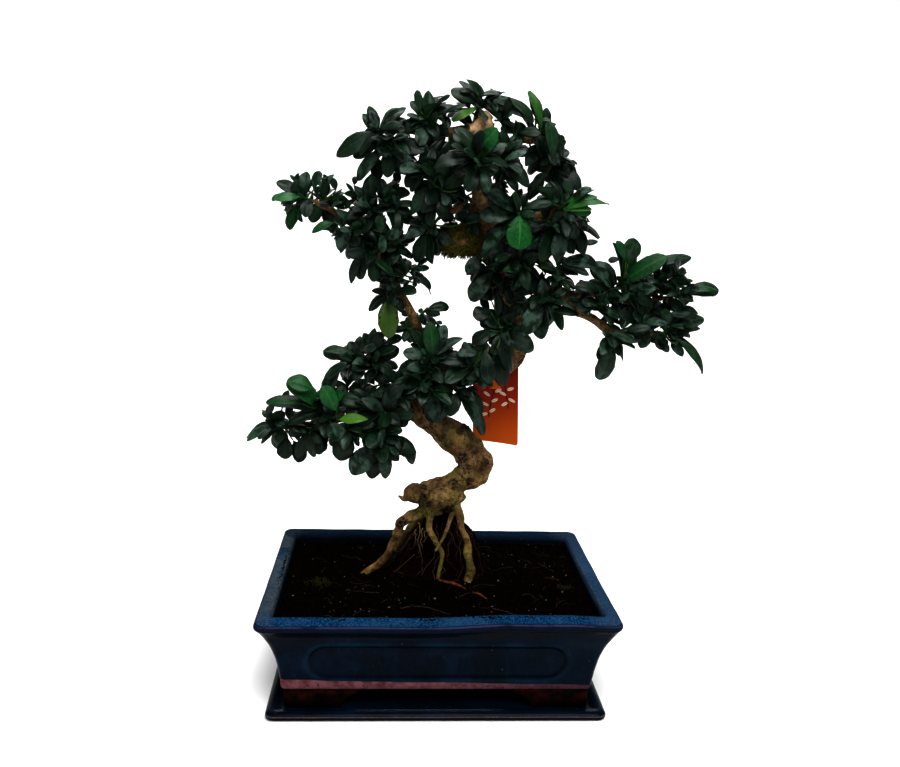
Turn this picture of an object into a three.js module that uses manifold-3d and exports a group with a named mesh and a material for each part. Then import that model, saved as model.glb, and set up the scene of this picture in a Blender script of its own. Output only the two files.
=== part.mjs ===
import * as THREE from "three";
import { mergeVertices } from "three/addons/utils/BufferGeometryUtils.js";
import Module from "manifold-3d";

// Fukien tea bonsai: an S-shaped tree standing on bare roots in a glazed rectangular pot on its saucer.
// Millimetres, +Z up. The origin is on the surface it stands on, under the middle of the pot.
const wasm = await Module();
wasm.setup();

// Gap left between neighbouring pieces, and the length that joined pieces reach into each other.
const GAP = 0.3;
const SINK = 1;
const MERGE = 0.01;

// Saucer.
const SAUCER_WIDTH = 245;
const SAUCER_DEPTH = 175;
const SAUCER_HEIGHT = 6.5;
const SAUCER_FLOOR = 3.6;
const SAUCER_SLOPE = 9;
const SAUCER_CORNER = 6;
const SAUCER_RIM = 2.6;

// Pot. The profile rows are [inset from the rim's outer edge, height].
const POT_WIDTH = 260;
const POT_DEPTH = 190;
const POT_TOP = 76;
const POT_UNDERSIDE = 19;
const POT_FLOOR = 27;
const POT_CORNER = 7;
const POT_OUTSIDE = [
  [18, POT_UNDERSIDE],
  [17, 20.5],
  [16.6, 27],
  [15.4, 35],
  [13.2, 45],
  [10, 55],
  [6, 63.5],
  [2.4, 69.5],
  [0.4, 72],
  [0.2, 74.4],
  [1.6, POT_TOP],
];
const POT_INSIDE = [
  [10.4, POT_TOP],
  [11.8, 74.6],
  [12.6, 68],
  [17, 58],
  [20.5, 46],
  [23, 34],
  [25, POT_FLOOR],
];
const PANEL_WIDTH = 184;
const PANEL_LOW = 29.5;
const PANEL_HIGH = 56.5;
const PANEL_DEPTH = 1.2;
const DRAIN_DIAMETER = 14;
const DRAIN_SPACING = 110;
const FOOT_LENGTH = 42;
const FOOT_DEPTH = 32;
const FOOT_THICKNESS = 11;
const FOOT_INSET = 19;
const FOOT_BATTER = 1.5;
const FOOT_SWEEP = 14;

// Soil, with the root ball heaped under the root crown: rows of [x, y, height, half width, half depth].
const SOIL_TOP = 69.5;
const HEAP = [
  [4, 34, 64, 48, 36],
  [4, 34, 76, 38, 29],
  [5, 33, 88, 31, 24],
  [7, 31, 99, 25, 18.5],
  [5, 27, 110, 16, 12.5],
  [5, 23, 121, 10, 8],
];
const HEAP_SIDES = 12;
const HEAP_LUMPS = 0.12;
const HEAP_SEED = 7;

// Wood: each route is rows of [x, y, z, radius].
const TRUNK = [
  [-17, 8, 137, 6.5], [-7, 8, 139, 10.5], [5, 8, 141, 11.5], [16, 8, 149, 9.3], [25, 9, 155, 11.5],
  [30, 10, 163, 13], [23, 11, 175, 13], [12, 10, 185, 12.5], [-1, 8, 195, 10.5], [-15, 6, 207, 10.2],
  [-18, 6, 220, 9.8], [-8, 10, 232, 10], [15, 16, 237, 10.5], [41, 22, 238, 10.5], [56, 24, 250, 9.8],
  [58, 24, 266, 9.5], [52, 22, 288, 10.5], [46, 20, 306, 10.5], [40, 18, 325, 9.5], [33, 15, 342, 9.2],
  [28, 12, 359, 8], [26, 10, 374, 7.4], [24, 8, 391, 7], [24, 6, 407, 6.6], [27, 5, 424, 6.4],
];
const ROOTS = [
  [[-1, 8, 131, 9], [-13, 6, 124, 6], [-27, 4, 118, 5.4], [-31, 5, 106, 4], [-35, 8, 94, 4.2],
    [-42, 11, 82, 4.2], [-53, 13, 71, 4], [-66, 15, 62, 3]],
  [[-5, 6, 130, 5], [-6, 2, 123, 4], [-5, 0, 112, 3.5], [0, 0, 102, 3.1], [4, 0, 92, 2.6],
    [4, 0, 80, 2.4], [2, 1, 70, 2.3], [0, 2, 58, 2]],
  [[11, 8, 133, 7], [18, 6, 123, 3.6], [20, 3, 111, 3.1], [24, 1, 102, 3.7], [26, -1, 91, 4.2],
    [27, -1, 80, 4.2], [27, -1, 70, 3.8], [28, 0, 56, 3]],
  [[12, 6, 126, 2.6], [9, 1, 117, 1.7], [4, -4, 107, 1.4], [-1, -5, 96, 1.2]],
  [[8, 14, 131, 7], [17, 34, 112, 4.2], [24, 54, 92, 4.2], [28, 68, 72, 4], [30, 76, 58, 3]],
  [[-4, 14, 131, 7], [-14, 35, 108, 3.8], [-24, 52, 86, 3.8], [-30, 62, 70, 3.6], [-34, 67, 58, 3]],
];
const LIMBS = {
  low_left: [[-17, 6, 215, 5], [-28, 6, 220, 3.9], [-39, 2, 217, 3.3], [-48, -6, 206, 2.9],
    [-61, -9, 200, 2.6], [-76, -11, 205, 2.4]],
  low_up: [[-34, 5, 219, 2.8], [-45, 9, 228, 2.4], [-54, 11, 238, 2]],
  low_down: [[-42, 0, 214, 2.8], [-43, -10, 203, 2.4]],
  low_back: [[-22, 6, 217, 4], [-34, 20, 217, 3], [-50, 34, 213, 2.4], [-70, 44, 204, 1.9]],
  far_left: [[-72, -10, 204, 2.2], [-84, -9, 200, 2], [-96, -6, 198, 1.9], [-114, -2, 196, 1.6]],
  slim: [[-10, 10, 227, 6], [-13, 8, 249, 4.4], [-18, 6, 269, 3.9], [-28, 4, 289, 3.7],
    [-38, 3, 305, 3.5], [-47, 2, 319, 3.4], [-50, 0, 336, 3.2], [-49, -2, 356, 2.6]],
  left_arm: [[-50, -1, 347, 3], [-62, -2, 348, 2.7], [-74, -2, 350, 2.5], [-84, -1, 357, 2.2],
    [-95, 0, 362, 1.9]],
  right_arm: [[51, 22, 297, 6], [69, 14, 304, 4.8], [86, 8, 299, 4.4], [102, 5, 287, 3.8],
    [115, 3, 281, 3.3], [128, 0, 272, 3], [144, -2, 272, 2.6], [163, -3, 273, 2]],
  right_up: [[88, 7, 298, 3.6], [108, 10, 300, 2.8], [128, 12, 298, 2.4], [150, 12, 294, 2.1],
    [167, 10, 298, 1.7]],
  arm_back: [[120, 2, 277, 2.8], [133, 22, 285, 2.4], [151, 38, 290, 1.9]],
  stub: [[32, 13, 351, 5], [53, 6, 356, 3.6], [73, 2, 358, 3.2], [89, 0, 363, 3]],
  top_left: [[23, 6, 417, 5.4], [2, 4, 415, 3.7], [-18, 2, 415, 3.1], [-35, 0, 415, 2.6],
    [-50, -2, 413, 2.2], [-64, -3, 410, 1.8]],
  top_spur: [[-17, 2, 415, 2.6], [-21, 4, 428, 2.3], [-24, 5, 437, 1.7]],
  top_right: [[24, 8, 402, 5], [42, 14, 409, 3.5], [61, 18, 413, 2.8], [77, 20, 406, 2]],
  front: [[27, 10, 368, 4.5], [23, -8, 379, 3.4], [19, -24, 390, 2.2]],
  back_left: [[27, 12, 366, 5], [19, 32, 384, 3.6], [6, 52, 395, 2.8], [-6, 66, 392, 2]],
  back_right: [[45, 20, 311, 5], [61, 40, 329, 3.8], [79, 58, 341, 2.8], [94, 72, 349, 2]],
  crown_left: [[26, 8, 384, 4], [10, 0, 386, 3], [-6, -6, 386, 2.4], [-13, -8, 381, 1.9]],
  crown_low: [[28, 12, 362, 4], [11, 4, 361, 3], [-4, 0, 355, 2.1]],
  crown_tip: [[23, 9, 406, 4], [19, 16, 419, 2.6], [20, 13, 429, 1.9]],
};
// Swellings: [x, y, z, half width, half depth, half height].
const SWELLINGS = [
  [1, 8, 139, 21, 14, 11.5],
  [-17, 6, 140, 10, 9, 8],
  [9, 7, 338, 17, 13, 11],
];
const TRUNK_SIDES = 9;
const TRUNK_STEPS = 32;
const LIMB_SIDES = 5;
const ROOT_SIDES = 6;
const SPUR = [[-18, 6, 138, 2.6], [-26, 5, 135, 1.8], [-31, 5, 138, 0.8]];

// Leafy shoots: [limb, hub, leaves set by rule, leaf length, tips of leaves set by hand from the hub].
const SHOOTS = [
  ["left_arm", [-107, 0, 366], 2, 21, [[-20, -4, -3], [-17, 2, 10], [4, 4, 18], [14, -3, 16], [-8, -4, -24]]],
  ["left_arm", [-90, 7, 366], 3, 18, [[6, 4, 17], [19, 2, -4], [-10, 6, -19]]],
  ["left_arm", [-57, -10, 363], 4, 20, [[2, 2, 21], [-16, -8, -12], [-11, 2, 12]]],
  ["slim", [-40, -6, 363], 5, 20, [[2, -10, -19]]],
  ["left_arm", [-67, -9, 343], 4, 20, [[-10, -4, -16]]],
  ["slim", [-58, -12, 334], 4, 22, [[-7, -6, -23], [6, -8, -17]]],
  ["slim", [-36, -9, 335], 5, 21, [[13, 0, 5], [-3, -6, -15]]],
  ["slim", [-26, -1, 317], 2, 18, [[14, -6, 0], [17, 2, -19]]],
  ["slim", [-42, -7, 298], 3, 19, [[-12, 0, 2], [-14, -2, -13], [1, -4, -33]]],
  ["slim", [-13, -3, 287], 0, 18, [[17, 4, 2], [10, -3, -4], [-3, -7, -11]]],
  ["top_left", [-52, -14, 413], 3, 20, [[-4, 4, 14], [-28, 0, -19], [-11, -6, -18], [20, 8, 17]]],
  ["top_left", [-43, -9, 402], 5, 22, [[-22, -2, -24], [-1, -4, -21], [16, -8, -11], [25, -6, -2]]],
  ["top_spur", [-17, -7, 424], 2, 21, [[1, 6, 19], [14, 8, 15], [25, 8, 9], [-18, -2, -10], [9, -6, -15]]],
  ["crown_tip", [24, 9, 437], 3, 24,
    [[-12, -3, 16], [-24, -5, 7], [36, 8, -8], [20, -8, -16], [-22, -12, -15]]],
  ["top_right", [69, 17, 419], 3, 24, [[-10, 0, 29], [5, 6, 18], [-20, 8, -5]]],
  ["top_right", [77, 9, 395], 3, 24, [[-6, -6, 31], [13, 6, 11], [19, 0, -5], [22, -6, -18]]],
  ["front", [16, -36, 396], 2, 24, [[14, -4, 20], [-13, 4, 20], [-28, -6, -7], [-4, -8, -23], [22, -2, 9]]],
  ["trunk", [39, -16, 395], 4, 22, [[14, -4, 7], [17, -8, -17]]],
  ["crown_left", [-18, -13, 391], 5, 24, [[-13, -8, -16]]],
  ["crown_left", [-4, -20, 373], 5, 24, [[-16, -4, -15], [0, -8, -19]]],
  ["crown_low", [-14, -4, 343], 3, 21, [[-8, 0, -22], [3, -5, -23]]],
  ["stub", [50, -22, 359], 1, 24, [[0, -8, -25], [-27, -4, 16], [-28, -2, -3], [23, 2, 11], [-24, -2, -31]]],
  ["stub", [84, -13, 367], 0, 24, [[23, 6, 11], [34, 4, 1], [20, 0, -5], [-10, 8, 16]]],
  ["stub", [95, 6, 353], 3, 23, [[22, 2, -10], [9, -5, -24]]],
  ["stub", [77, -9, 351], 4, 22, [[-8, -8, -26], [11, -2, -17]]],
  ["right_arm", [86, 2, 324], 3, 21, [[29, 2, 0], [22, -5, -9], [-6, -8, -18]]],
  ["trunk", [57, -13, 321], 5, 22, [[-16, -6, -3], [3, -6, -17]]],
  ["trunk", [37, 0, 316], 4, 22, [[-18, -2, -22], [-9, 4, 9]]],
  ["right_arm", [73, -8, 296], 3, 24, [[-14, -6, -26], [0, -2, -29], [16, -1, -22]]],
  ["trunk", [45, 2, 271], 4, 21, [[-21, 0, 15], [-18, -3, -5], [24, -4, -14], [-7, -6, -18]]],
  ["trunk", [24, -5, 245], 3, 24, [[14, -8, -14], [4, 0, 17]]],
  ["slim", [-8, -14, 252], 3, 24, [[-3, 0, 27], [9, 4, 24], [22, 4, 15], [-22, 2, 3]]],
  ["trunk", [-14, -14, 234], 2, 24, [[0, -6, -19], [11, -6, -31], [-15, -4, -9]]],
  ["trunk", [13, -9, 226], 2, 24, [[-6, -6, -18], [20, 0, -34], [20, 6, -17]]],
  ["low_left", [-90, -15, 212], 3, 21,
    [[-24, -4, 22], [-40, -4, 5], [15, 2, 33], [16, -8, 14], [-23, -8, -10]]],
  ["far_left", [-125, -2, 196], 3, 20, [[-23, 0, -11], [6, -4, -21], [-11, 4, 10]]],
  ["far_left", [-98, -17, 194], 3, 21, [[3, -2, -19], [-10, 3, -21]]],
  ["low_left", [-72, -21, 197], 2, 22, [[1, -2, -20], [-11, 4, -13], [19, -4, -1]]],
  ["low_down", [-46, -20, 187], 0, 27,
    [[-21, -6, -22], [-4, 0, -26], [7, 6, -22], [28, -2, -6], [15, -10, -10], [17, 2, 10]]],
  ["low_left", [-42, -18, 210], 3, 25, [[-18, -6, 12], [11, -6, -7]]],
  ["low_up", [-66, 13, 243], 4, 20, [[-25, 4, 8], [-5, 4, 15]]],
  ["low_up", [-52, 6, 246], 3, 20, [[-8, 2, 20], [4, -2, 22], [19, 2, 9]]],
  ["low_left", [-32, -6, 230], 4, 21, [[-12, -4, 11], [7, 4, 15]]],
  ["right_up", [135, 3, 310], 1, 27, [[4, 3, 33], [-10, -4, 30], [-25, 0, 16], [31, -6, 21]]],
  ["right_up", [164, 12, 314], 3, 23, [[26, 2, 16], [15, -6, 7]]],
  ["right_arm", [116, -8, 297], 3, 22, [[-15, -8, -1], [10, -6, -17]]],
  ["right_up", [183, 9, 302], 2, 24, [[29, 0, 5], [8, -6, -5], [-20, -10, 2]]],
  ["right_arm", [174, -3, 274], 2, 24, [[25, 4, 12], [20, -6, 4], [28, 0, -31], [-14, 0, 16]]],
  ["right_arm", [126, -13, 268], 0, 24, [[-7, 2, -31], [10, 0, -15], [24, 0, 3]]],
  ["back_left", [-5, 72, 404], 8, 25, []],
  ["back_left", [19, 60, 394], 7, 25, []],
  ["back_right", [98, 80, 352], 8, 25, []],
  ["back_right", [73, 68, 350], 7, 25, []],
  ["arm_back", [159, 46, 295], 7, 24, []],
  ["low_back", [-76, 50, 206], 8, 24, []],
];
const TWIG_LENGTH = 13;
const TWIG_RADIUS = 1.1;
const TWIG_SIDES = 3;
const TWIG_GAP = 0.8;
const STRAIGHT_UP_TO = 12;
const SHOOT_RADIUS = 1.7;
const STEPS_PER_SPAN = 6;
const STEPS_BACK = 3;
const SPUR_LENGTH = 2.5;
const LEAF_START = 1.2;
const LEAFY_PART = 0.65;

// Leaf blade: stations along its length as [distance, half width] in parts of the length and the width.
const BLADE = [
  [0.5, 0.42],
  [0.84, 0.47],
];
const BLADE_THICKNESS = 0.9;
const STALK_LENGTH = 2.2;
const STALK_HALF_WIDTH = 0.7;
const BLADE_WIDTH = 0.44;
const NARROWEST = 8;
const WIDEST = 14;
const BLADE_ARCH = 0.1;
const CLEARANCE = 0.35;
const OWN_CLEAR_FROM = 0.35;
const ATTEMPTS = 8;
const DRIFT = 1.6;
const LENGTH_SPREAD = 0.36;
const ROLL_SPREAD = 1.1;
const FIRST_SEED = 101;
const OPEN_SIDE_FROM = 30;
const GOLDEN_TURN = THREE.MathUtils.degToRad(137.5);

// Plant label: an orange plate behind the trunk, hung on its own strap.
const LABEL_WIDTH = 37;
const LABEL_HEIGHT = 66;
const LABEL_THICKNESS = 0.8;
const LABEL_TOP = 240;
const LABEL_X = 45;
const LABEL_Y = 37;
const LABEL_BEND = 1.6;
const STRAP_WIDTH = 8;
const STRAP_THICKNESS = 1;
const STRAP_CENTRE = [43, 21.5, 239];
const STRAP_RADIUS = 15.9;

const group = new THREE.Group();

function vector([x, y, z]) {
  return new THREE.Vector3(x, y, z);
}

/** Numbers from 0 to 1 that are the same on every run. */
function seeded(seed) {
  let state = seed;
  return () => {
    state = (state * 1664525 + 1013904223) % 4294967296;
    return state / 4294967296;
  };
}

/** Two triangles between two rings of points, or one where a ring is a single point. */
function pushFace(faces, low, high, lowCount, highCount, k) {
  const a = low + k;
  const b = low + ((k + 1) % lowCount);
  const c = high + k;
  const d = high + ((k + 1) % highCount);
  if (lowCount === 1) faces.push(low, high + ((k + 1) % highCount), high + k);
  else if (highCount === 1) faces.push(a, b, high);
  else if (k % 2 === 0) faces.push(a, b, d, a, d, c);
  else faces.push(a, b, c, b, d, c);
}

/** A closed solid through rings of points, each counter-clockwise about the way they go. */
function skin(rings) {
  const faces = [];
  let low = 0;
  for (let i = 0; i + 1 < rings.length; i += 1) {
    const lowCount = rings[i].length;
    const highCount = rings[i + 1].length;
    const high = low + lowCount;
    for (let k = 0; k < Math.max(lowCount, highCount); k += 1) {
      pushFace(faces, low, high, lowCount, highCount, k);
    }
    low = high;
  }
  for (let k = 1; k + 1 < rings[0].length; k += 1) faces.push(0, k + 1, k);
  for (let k = 1; k + 1 < rings.at(-1).length; k += 1) faces.push(low, low + k, low + k + 1);
  const points = rings.flat();
  return new wasm.Manifold(new wasm.Mesh({
    numProp: 3,
    vertProperties: new Float32Array(points.flatMap((point) => point.toArray())),
    triVerts: new Uint32Array(faces),
  }));
}

/** A closed three.js geometry as a solid, with the points that fall together made one. */
function solidFrom(geometry) {
  geometry.deleteAttribute("normal");
  geometry.deleteAttribute("uv");
  const merged = mergeVertices(geometry, MERGE);
  const corners = merged.index.array;
  const kept = [];
  for (let i = 0; i < corners.length; i += 3) {
    const [a, b, c] = corners.slice(i, i + 3);
    if (a !== b && b !== c && c !== a) kept.push(a, b, c);
  }
  return new wasm.Manifold(new wasm.Mesh({
    numProp: 3,
    vertProperties: new Float32Array(merged.attributes.position.array),
    triVerts: new Uint32Array(kept),
  }));
}

function joined(solids) {
  return wasm.Manifold.union(solids);
}

/** The largest body of a solid, without any loose scrap. */
function mainBody(solid) {
  const bodies = solid.decompose();
  return bodies.reduce((best, body) => (body.volume() > best.volume() ? body : best));
}

function geometryOf(solid) {
  const mesh = solid.getMesh();
  const geometry = new THREE.BufferGeometry();
  geometry.setAttribute("position", new THREE.BufferAttribute(mesh.vertProperties, 3));
  geometry.setIndex(new THREE.BufferAttribute(mesh.triVerts, 1));
  return geometry;
}

function addMesh(name, solid, colour, roughness) {
  const settled = mainBody(solidFrom(geometryOf(mainBody(solid))));
  const geometry = geometryOf(settled);
  geometry.computeVertexNormals();
  const material = new THREE.MeshStandardMaterial({ color: colour, roughness, metalness: 0 });
  const object = new THREE.Mesh(geometry, material);
  object.name = name;
  group.add(object);
}

/** A rectangle with round corners, as a ring of points at one height. */
function oblong(width, depth, corner, z) {
  const points = [];
  const x = width / 2 - corner;
  const y = depth / 2 - corner;
  const corners = [[x, y], [-x, y], [-x, -y], [x, -y]];
  corners.forEach(([cx, cy], quarter) => {
    for (let step = 0; step <= 3; step += 1) {
      const angle = (quarter + step / 3) * (Math.PI / 2);
      points.push(new THREE.Vector3(cx + corner * Math.cos(angle), cy + corner * Math.sin(angle), z));
    }
  });
  return points;
}

/** Rings of a pot or tray from rows of [inset, height], pulled in by a further inset. */
function oblongRings(width, depth, corner, rows, extra = 0) {
  return rows.map(([inset, z]) => {
    const pull = inset + extra;
    return oblong(width - 2 * pull, depth - 2 * pull, Math.max(corner - pull * 0.2, 2), z);
  });
}

/** A tube of changing radius along a smooth route of [x, y, z, radius] rows. */
function limbSolid(rows, sides, steps, grow = 0) {
  const curve = new THREE.CatmullRomCurve3(rows.map(vector));
  const frames = curve.computeFrenetFrames(steps, false);
  const rings = [];
  for (let i = 0; i <= steps; i += 1) {
    const place = (i / steps) * (rows.length - 1);
    const before = Math.min(Math.floor(place), rows.length - 2);
    const radius = THREE.MathUtils.lerp(rows[before][3], rows[before + 1][3], place - before) + grow;
    const centre = curve.getPoint(i / steps);
    const ring = [];
    for (let k = 0; k < sides; k += 1) {
      const angle = (k / sides) * 2 * Math.PI;
      const spoke = frames.normals[i].clone().multiplyScalar(Math.cos(angle) * radius);
      spoke.addScaledVector(frames.binormals[i], Math.sin(angle) * radius);
      ring.push(spoke.add(centre));
    }
    rings.push(ring);
  }
  return skin(rings);
}

function swelling([x, y, z, halfWidth, halfDepth, halfHeight]) {
  const ball = new THREE.IcosahedronGeometry(1, 1);
  ball.scale(halfWidth, halfDepth, halfHeight);
  ball.translate(x, y, z);
  return solidFrom(ball);
}

function saucer() {
  const rows = [
    [1.2, 0],
    [0, 1.4],
    [0.5, SAUCER_HEIGHT - 0.5],
    [SAUCER_RIM / 2, SAUCER_HEIGHT],
    [SAUCER_RIM, SAUCER_HEIGHT - 0.6],
    [SAUCER_SLOPE, SAUCER_FLOOR],
  ];
  return skin(oblongRings(SAUCER_WIDTH, SAUCER_DEPTH, SAUCER_CORNER, rows));
}

/** The upright oblong with half-round ends that the panel is cut to. */
function panelPrism() {
  const radius = (PANEL_HIGH - PANEL_LOW) / 2;
  const middle = (PANEL_HIGH + PANEL_LOW) / 2;
  const reach = PANEL_WIDTH / 2 - radius;
  const shape = new THREE.Shape();
  shape.absarc(reach, middle, radius, -Math.PI / 2, Math.PI / 2, false);
  shape.absarc(-reach, middle, radius, Math.PI / 2, 1.5 * Math.PI, false);
  const prism = new THREE.ExtrudeGeometry(shape, { depth: POT_DEPTH, bevelEnabled: false, curveSegments: 4 });
  prism.rotateX(Math.PI / 2);
  prism.translate(0, POT_DEPTH / 2, 0);
  return solidFrom(prism);
}

/** One board of a foot, standing along X from its outer end, with a hollow curve at its inner end. */
function footBoard(length, thickness) {
  const height = POT_UNDERSIDE - SAUCER_FLOOR - GAP;
  const shape = new THREE.Shape();
  shape.moveTo(FOOT_BATTER, 0);
  shape.lineTo(length, 0);
  shape.quadraticCurveTo(length + 1, height * 0.62, length + FOOT_SWEEP, height * 0.8);
  shape.lineTo(length + FOOT_SWEEP + 2, height + SINK);
  shape.lineTo(0, height + SINK);
  const board = new THREE.ExtrudeGeometry(shape, { depth: thickness, bevelEnabled: false, curveSegments: 4 });
  board.rotateX(Math.PI / 2);
  board.translate(0, thickness, SAUCER_FLOOR + GAP);
  return board;
}

/** The L-shaped foot at the corner with the lowest x and y. */
function corner() {
  const along = solidFrom(footBoard(FOOT_LENGTH, FOOT_THICKNESS));
  const across = footBoard(FOOT_DEPTH, FOOT_THICKNESS);
  across.rotateZ(Math.PI / 2);
  across.translate(FOOT_THICKNESS, 0, 0);
  const outer = [POT_WIDTH / 2 - FOOT_INSET, POT_DEPTH / 2 - FOOT_INSET];
  return along.add(solidFrom(across)).translate(-outer[0], -outer[1], 0);
}

function pot() {
  const rings = oblongRings(POT_WIDTH, POT_DEPTH, POT_CORNER, POT_OUTSIDE);
  const hollow = oblongRings(POT_WIDTH, POT_DEPTH, POT_CORNER, POT_INSIDE);
  const panelFloor = skin(oblongRings(POT_WIDTH, POT_DEPTH, POT_CORNER, POT_OUTSIDE, PANEL_DEPTH));
  const body = skin([...rings, ...hollow]).subtract(panelPrism().subtract(panelFloor));
  const foot = corner();
  const pair = foot.add(foot.mirror([1, 0, 0]));
  const feet = pair.add(pair.mirror([0, 1, 0]));
  const drains = [-1, 1].map((side) => {
    const drain = new THREE.CylinderGeometry(DRAIN_DIAMETER / 2, DRAIN_DIAMETER / 2, POT_FLOOR, 12);
    drain.rotateX(Math.PI / 2);
    drain.translate((side * DRAIN_SPACING) / 2, 0, POT_FLOOR / 2 + POT_UNDERSIDE / 2);
    return solidFrom(drain);
  });
  return body.add(feet).subtract(joined(drains));
}

/** The root ball, a little lumpy all round. */
function heap() {
  const random = seeded(HEAP_SEED);
  return skin(HEAP.map(([x, y, z, halfWidth, halfDepth]) => {
    const ring = [];
    for (let k = 0; k < HEAP_SIDES; k += 1) {
      const angle = (k / HEAP_SIDES) * 2 * Math.PI;
      const lump = 1 + HEAP_LUMPS * (random() - 0.5);
      const px = x + Math.cos(angle) * halfWidth * lump;
      ring.push(new THREE.Vector3(px, y + Math.sin(angle) * halfDepth * lump, z));
    }
    return ring;
  }));
}

function roots(grow) {
  return joined(ROOTS.map((rows) => limbSolid(rows, ROOT_SIDES, rows.length, grow)));
}

function soil() {
  const rows = POT_INSIDE.slice(2).map(([inset, z]) => [inset + GAP, z]).reverse();
  rows[0][1] += GAP;
  rows[rows.length - 1][1] = SOIL_TOP;
  const bed = skin(oblongRings(POT_WIDTH, POT_DEPTH, POT_CORNER, rows));
  return mainBody(bed.add(heap()).subtract(roots(GAP)));
}

/** Even points along a limb's straight spans, where side shoots can leave it, with its radius there. */
function limbPoints(rows) {
  const points = [];
  for (let i = 0; i + 1 < rows.length; i += 1) {
    for (let step = 0; step < STEPS_PER_SPAN; step += 1) {
      const part = step / STEPS_PER_SPAN;
      const point = vector(rows[i]).lerp(vector(rows[i + 1]), part);
      points.push({ point, radius: THREE.MathUtils.lerp(rows[i][3], rows[i + 1][3], part) });
    }
  }
  points.push({ point: vector(rows.at(-1)), radius: 0 });
  return points;
}

/** The bent line on which a side shoot leaves its limb and reaches its hub. Its twig starts at split. */
function shootLine(limb, hub) {
  const places = limbPoints(limb === "trunk" ? TRUNK : LIMBS[limb]);
  const end = vector(hub);
  const distances = places.map(({ point }) => point.distanceTo(end));
  const nearest = distances.indexOf(Math.min(...distances));
  const last = places.length - 1;
  const at = nearest === last ? last : Math.max(nearest - STEPS_BACK, 0);
  const start = places[at].point;
  const reach = start.distanceTo(end);
  const along = places[Math.min(at + 1, last)].point.clone().sub(places[Math.max(at - 1, 0)].point);
  const middle = start.clone().lerp(end, 0.35).addScaledVector(along.normalize(), reach * 0.3);
  const split = Math.max(1 - TWIG_LENGTH / reach, (places[at].radius + SPUR_LENGTH) / reach);
  const line = { start, middle, end, split };
  const foot = onLine(line, split);
  return { ...line, foot, length: foot.distanceTo(end) };
}

function onLine({ start, middle, end }, t) {
  const point = start.clone().multiplyScalar((1 - t) * (1 - t));
  point.addScaledVector(middle, 2 * t * (1 - t));
  return point.addScaledVector(end, t * t);
}

/** The bent woody part of a side shoot, from inside its limb almost to the foot of its twig. */
function woodyPart(line) {
  const stop = line.foot.clone().lerp(line.end, -TWIG_GAP / line.length);
  const rows = [[...line.start.toArray(), SHOOT_RADIUS], [...stop.toArray(), TWIG_RADIUS]];
  if (line.start.distanceTo(stop) > STRAIGHT_UP_TO) {
    rows.splice(1, 0, [...onLine(line, line.split / 2).toArray(), (SHOOT_RADIUS + TWIG_RADIUS) / 2]);
  }
  return limbSolid(rows, TWIG_SIDES, rows.length - 1);
}

/** The straight green twig of a side shoot, which carries its leaves. */
function twigSolid(line) {
  const rows = [[...line.foot.toArray(), TWIG_RADIUS], [...line.end.toArray(), TWIG_RADIUS * 0.8]];
  return limbSolid(rows, TWIG_SIDES, 1);
}

function wood(lines) {
  const trunk = limbSolid(TRUNK, TRUNK_SIDES, TRUNK_STEPS);
  const limbs = Object.values(LIMBS).map((rows) => limbSolid(rows, LIMB_SIDES, rows.length));
  const swellings = SWELLINGS.map(swelling);
  const spur = limbSolid(SPUR, LIMB_SIDES, SPUR.length);
  return joined([trunk, roots(0), spur, ...limbs, ...swellings, ...lines.map(woodyPart)]);
}

/** The way a leaf's upper face looks: up, towards the open side of the crown and along its twig. */
function faceOf(line, leaf, roll) {
  const axis = leaf.tip.clone().sub(leaf.root).normalize();
  const open = line.end.y > OPEN_SIDE_FROM ? 0.45 : -0.45;
  const face = new THREE.Vector3(0, open, 0.9);
  face.addScaledVector(line.end.clone().sub(line.foot).normalize(), 0.5);
  face.addScaledVector(axis, -face.dot(axis)).normalize();
  return face.applyAxisAngle(axis, roll);
}

/** One try at a leaf: by hand where a tip is given, and else on a spiral round the twig. */
function leafTry(line, row, index, attempt, random) {
  const [, , byRule, length, tips] = row;
  const total = byRule + tips.length;
  const draws = [random(), random(), random(), random()].map((value) => value - 0.5);
  const back = LEAF_START / line.length + (index / total) * LEAFY_PART;
  const root = line.end.clone().lerp(line.foot, back);
  const tip = line.end.clone();
  if (index < tips.length) {
    const drift = attempt * DRIFT;
    tip.add(vector(tips[index]));
    tip.add(new THREE.Vector3(draws[0] * drift, draws[1] * drift * 2, draws[2] * drift));
  } else {
    const axis = line.end.clone().sub(line.foot).normalize();
    const side = axis.clone().cross(new THREE.Vector3(0.36, 0.48, 0.8)).normalize();
    const other = axis.clone().cross(side);
    const turn = index * GOLDEN_TURN + draws[0] * (0.5 + attempt * 0.8);
    const tilt = 0.65 + (0.95 * (index + 1)) / total + draws[1] * (0.3 + attempt * 0.15);
    const way = axis.multiplyScalar(Math.cos(tilt));
    way.addScaledVector(side, Math.sin(tilt) * Math.cos(turn));
    way.addScaledVector(other, Math.sin(tilt) * Math.sin(turn));
    tip.copy(root).addScaledVector(way, length * (1 + draws[2] * LENGTH_SPREAD) * (1 - attempt * 0.04));
  }
  const leaf = { root, tip };
  leaf.face = faceOf(line, leaf, draws[3] * ROLL_SPREAD);
  return leaf;
}

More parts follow.
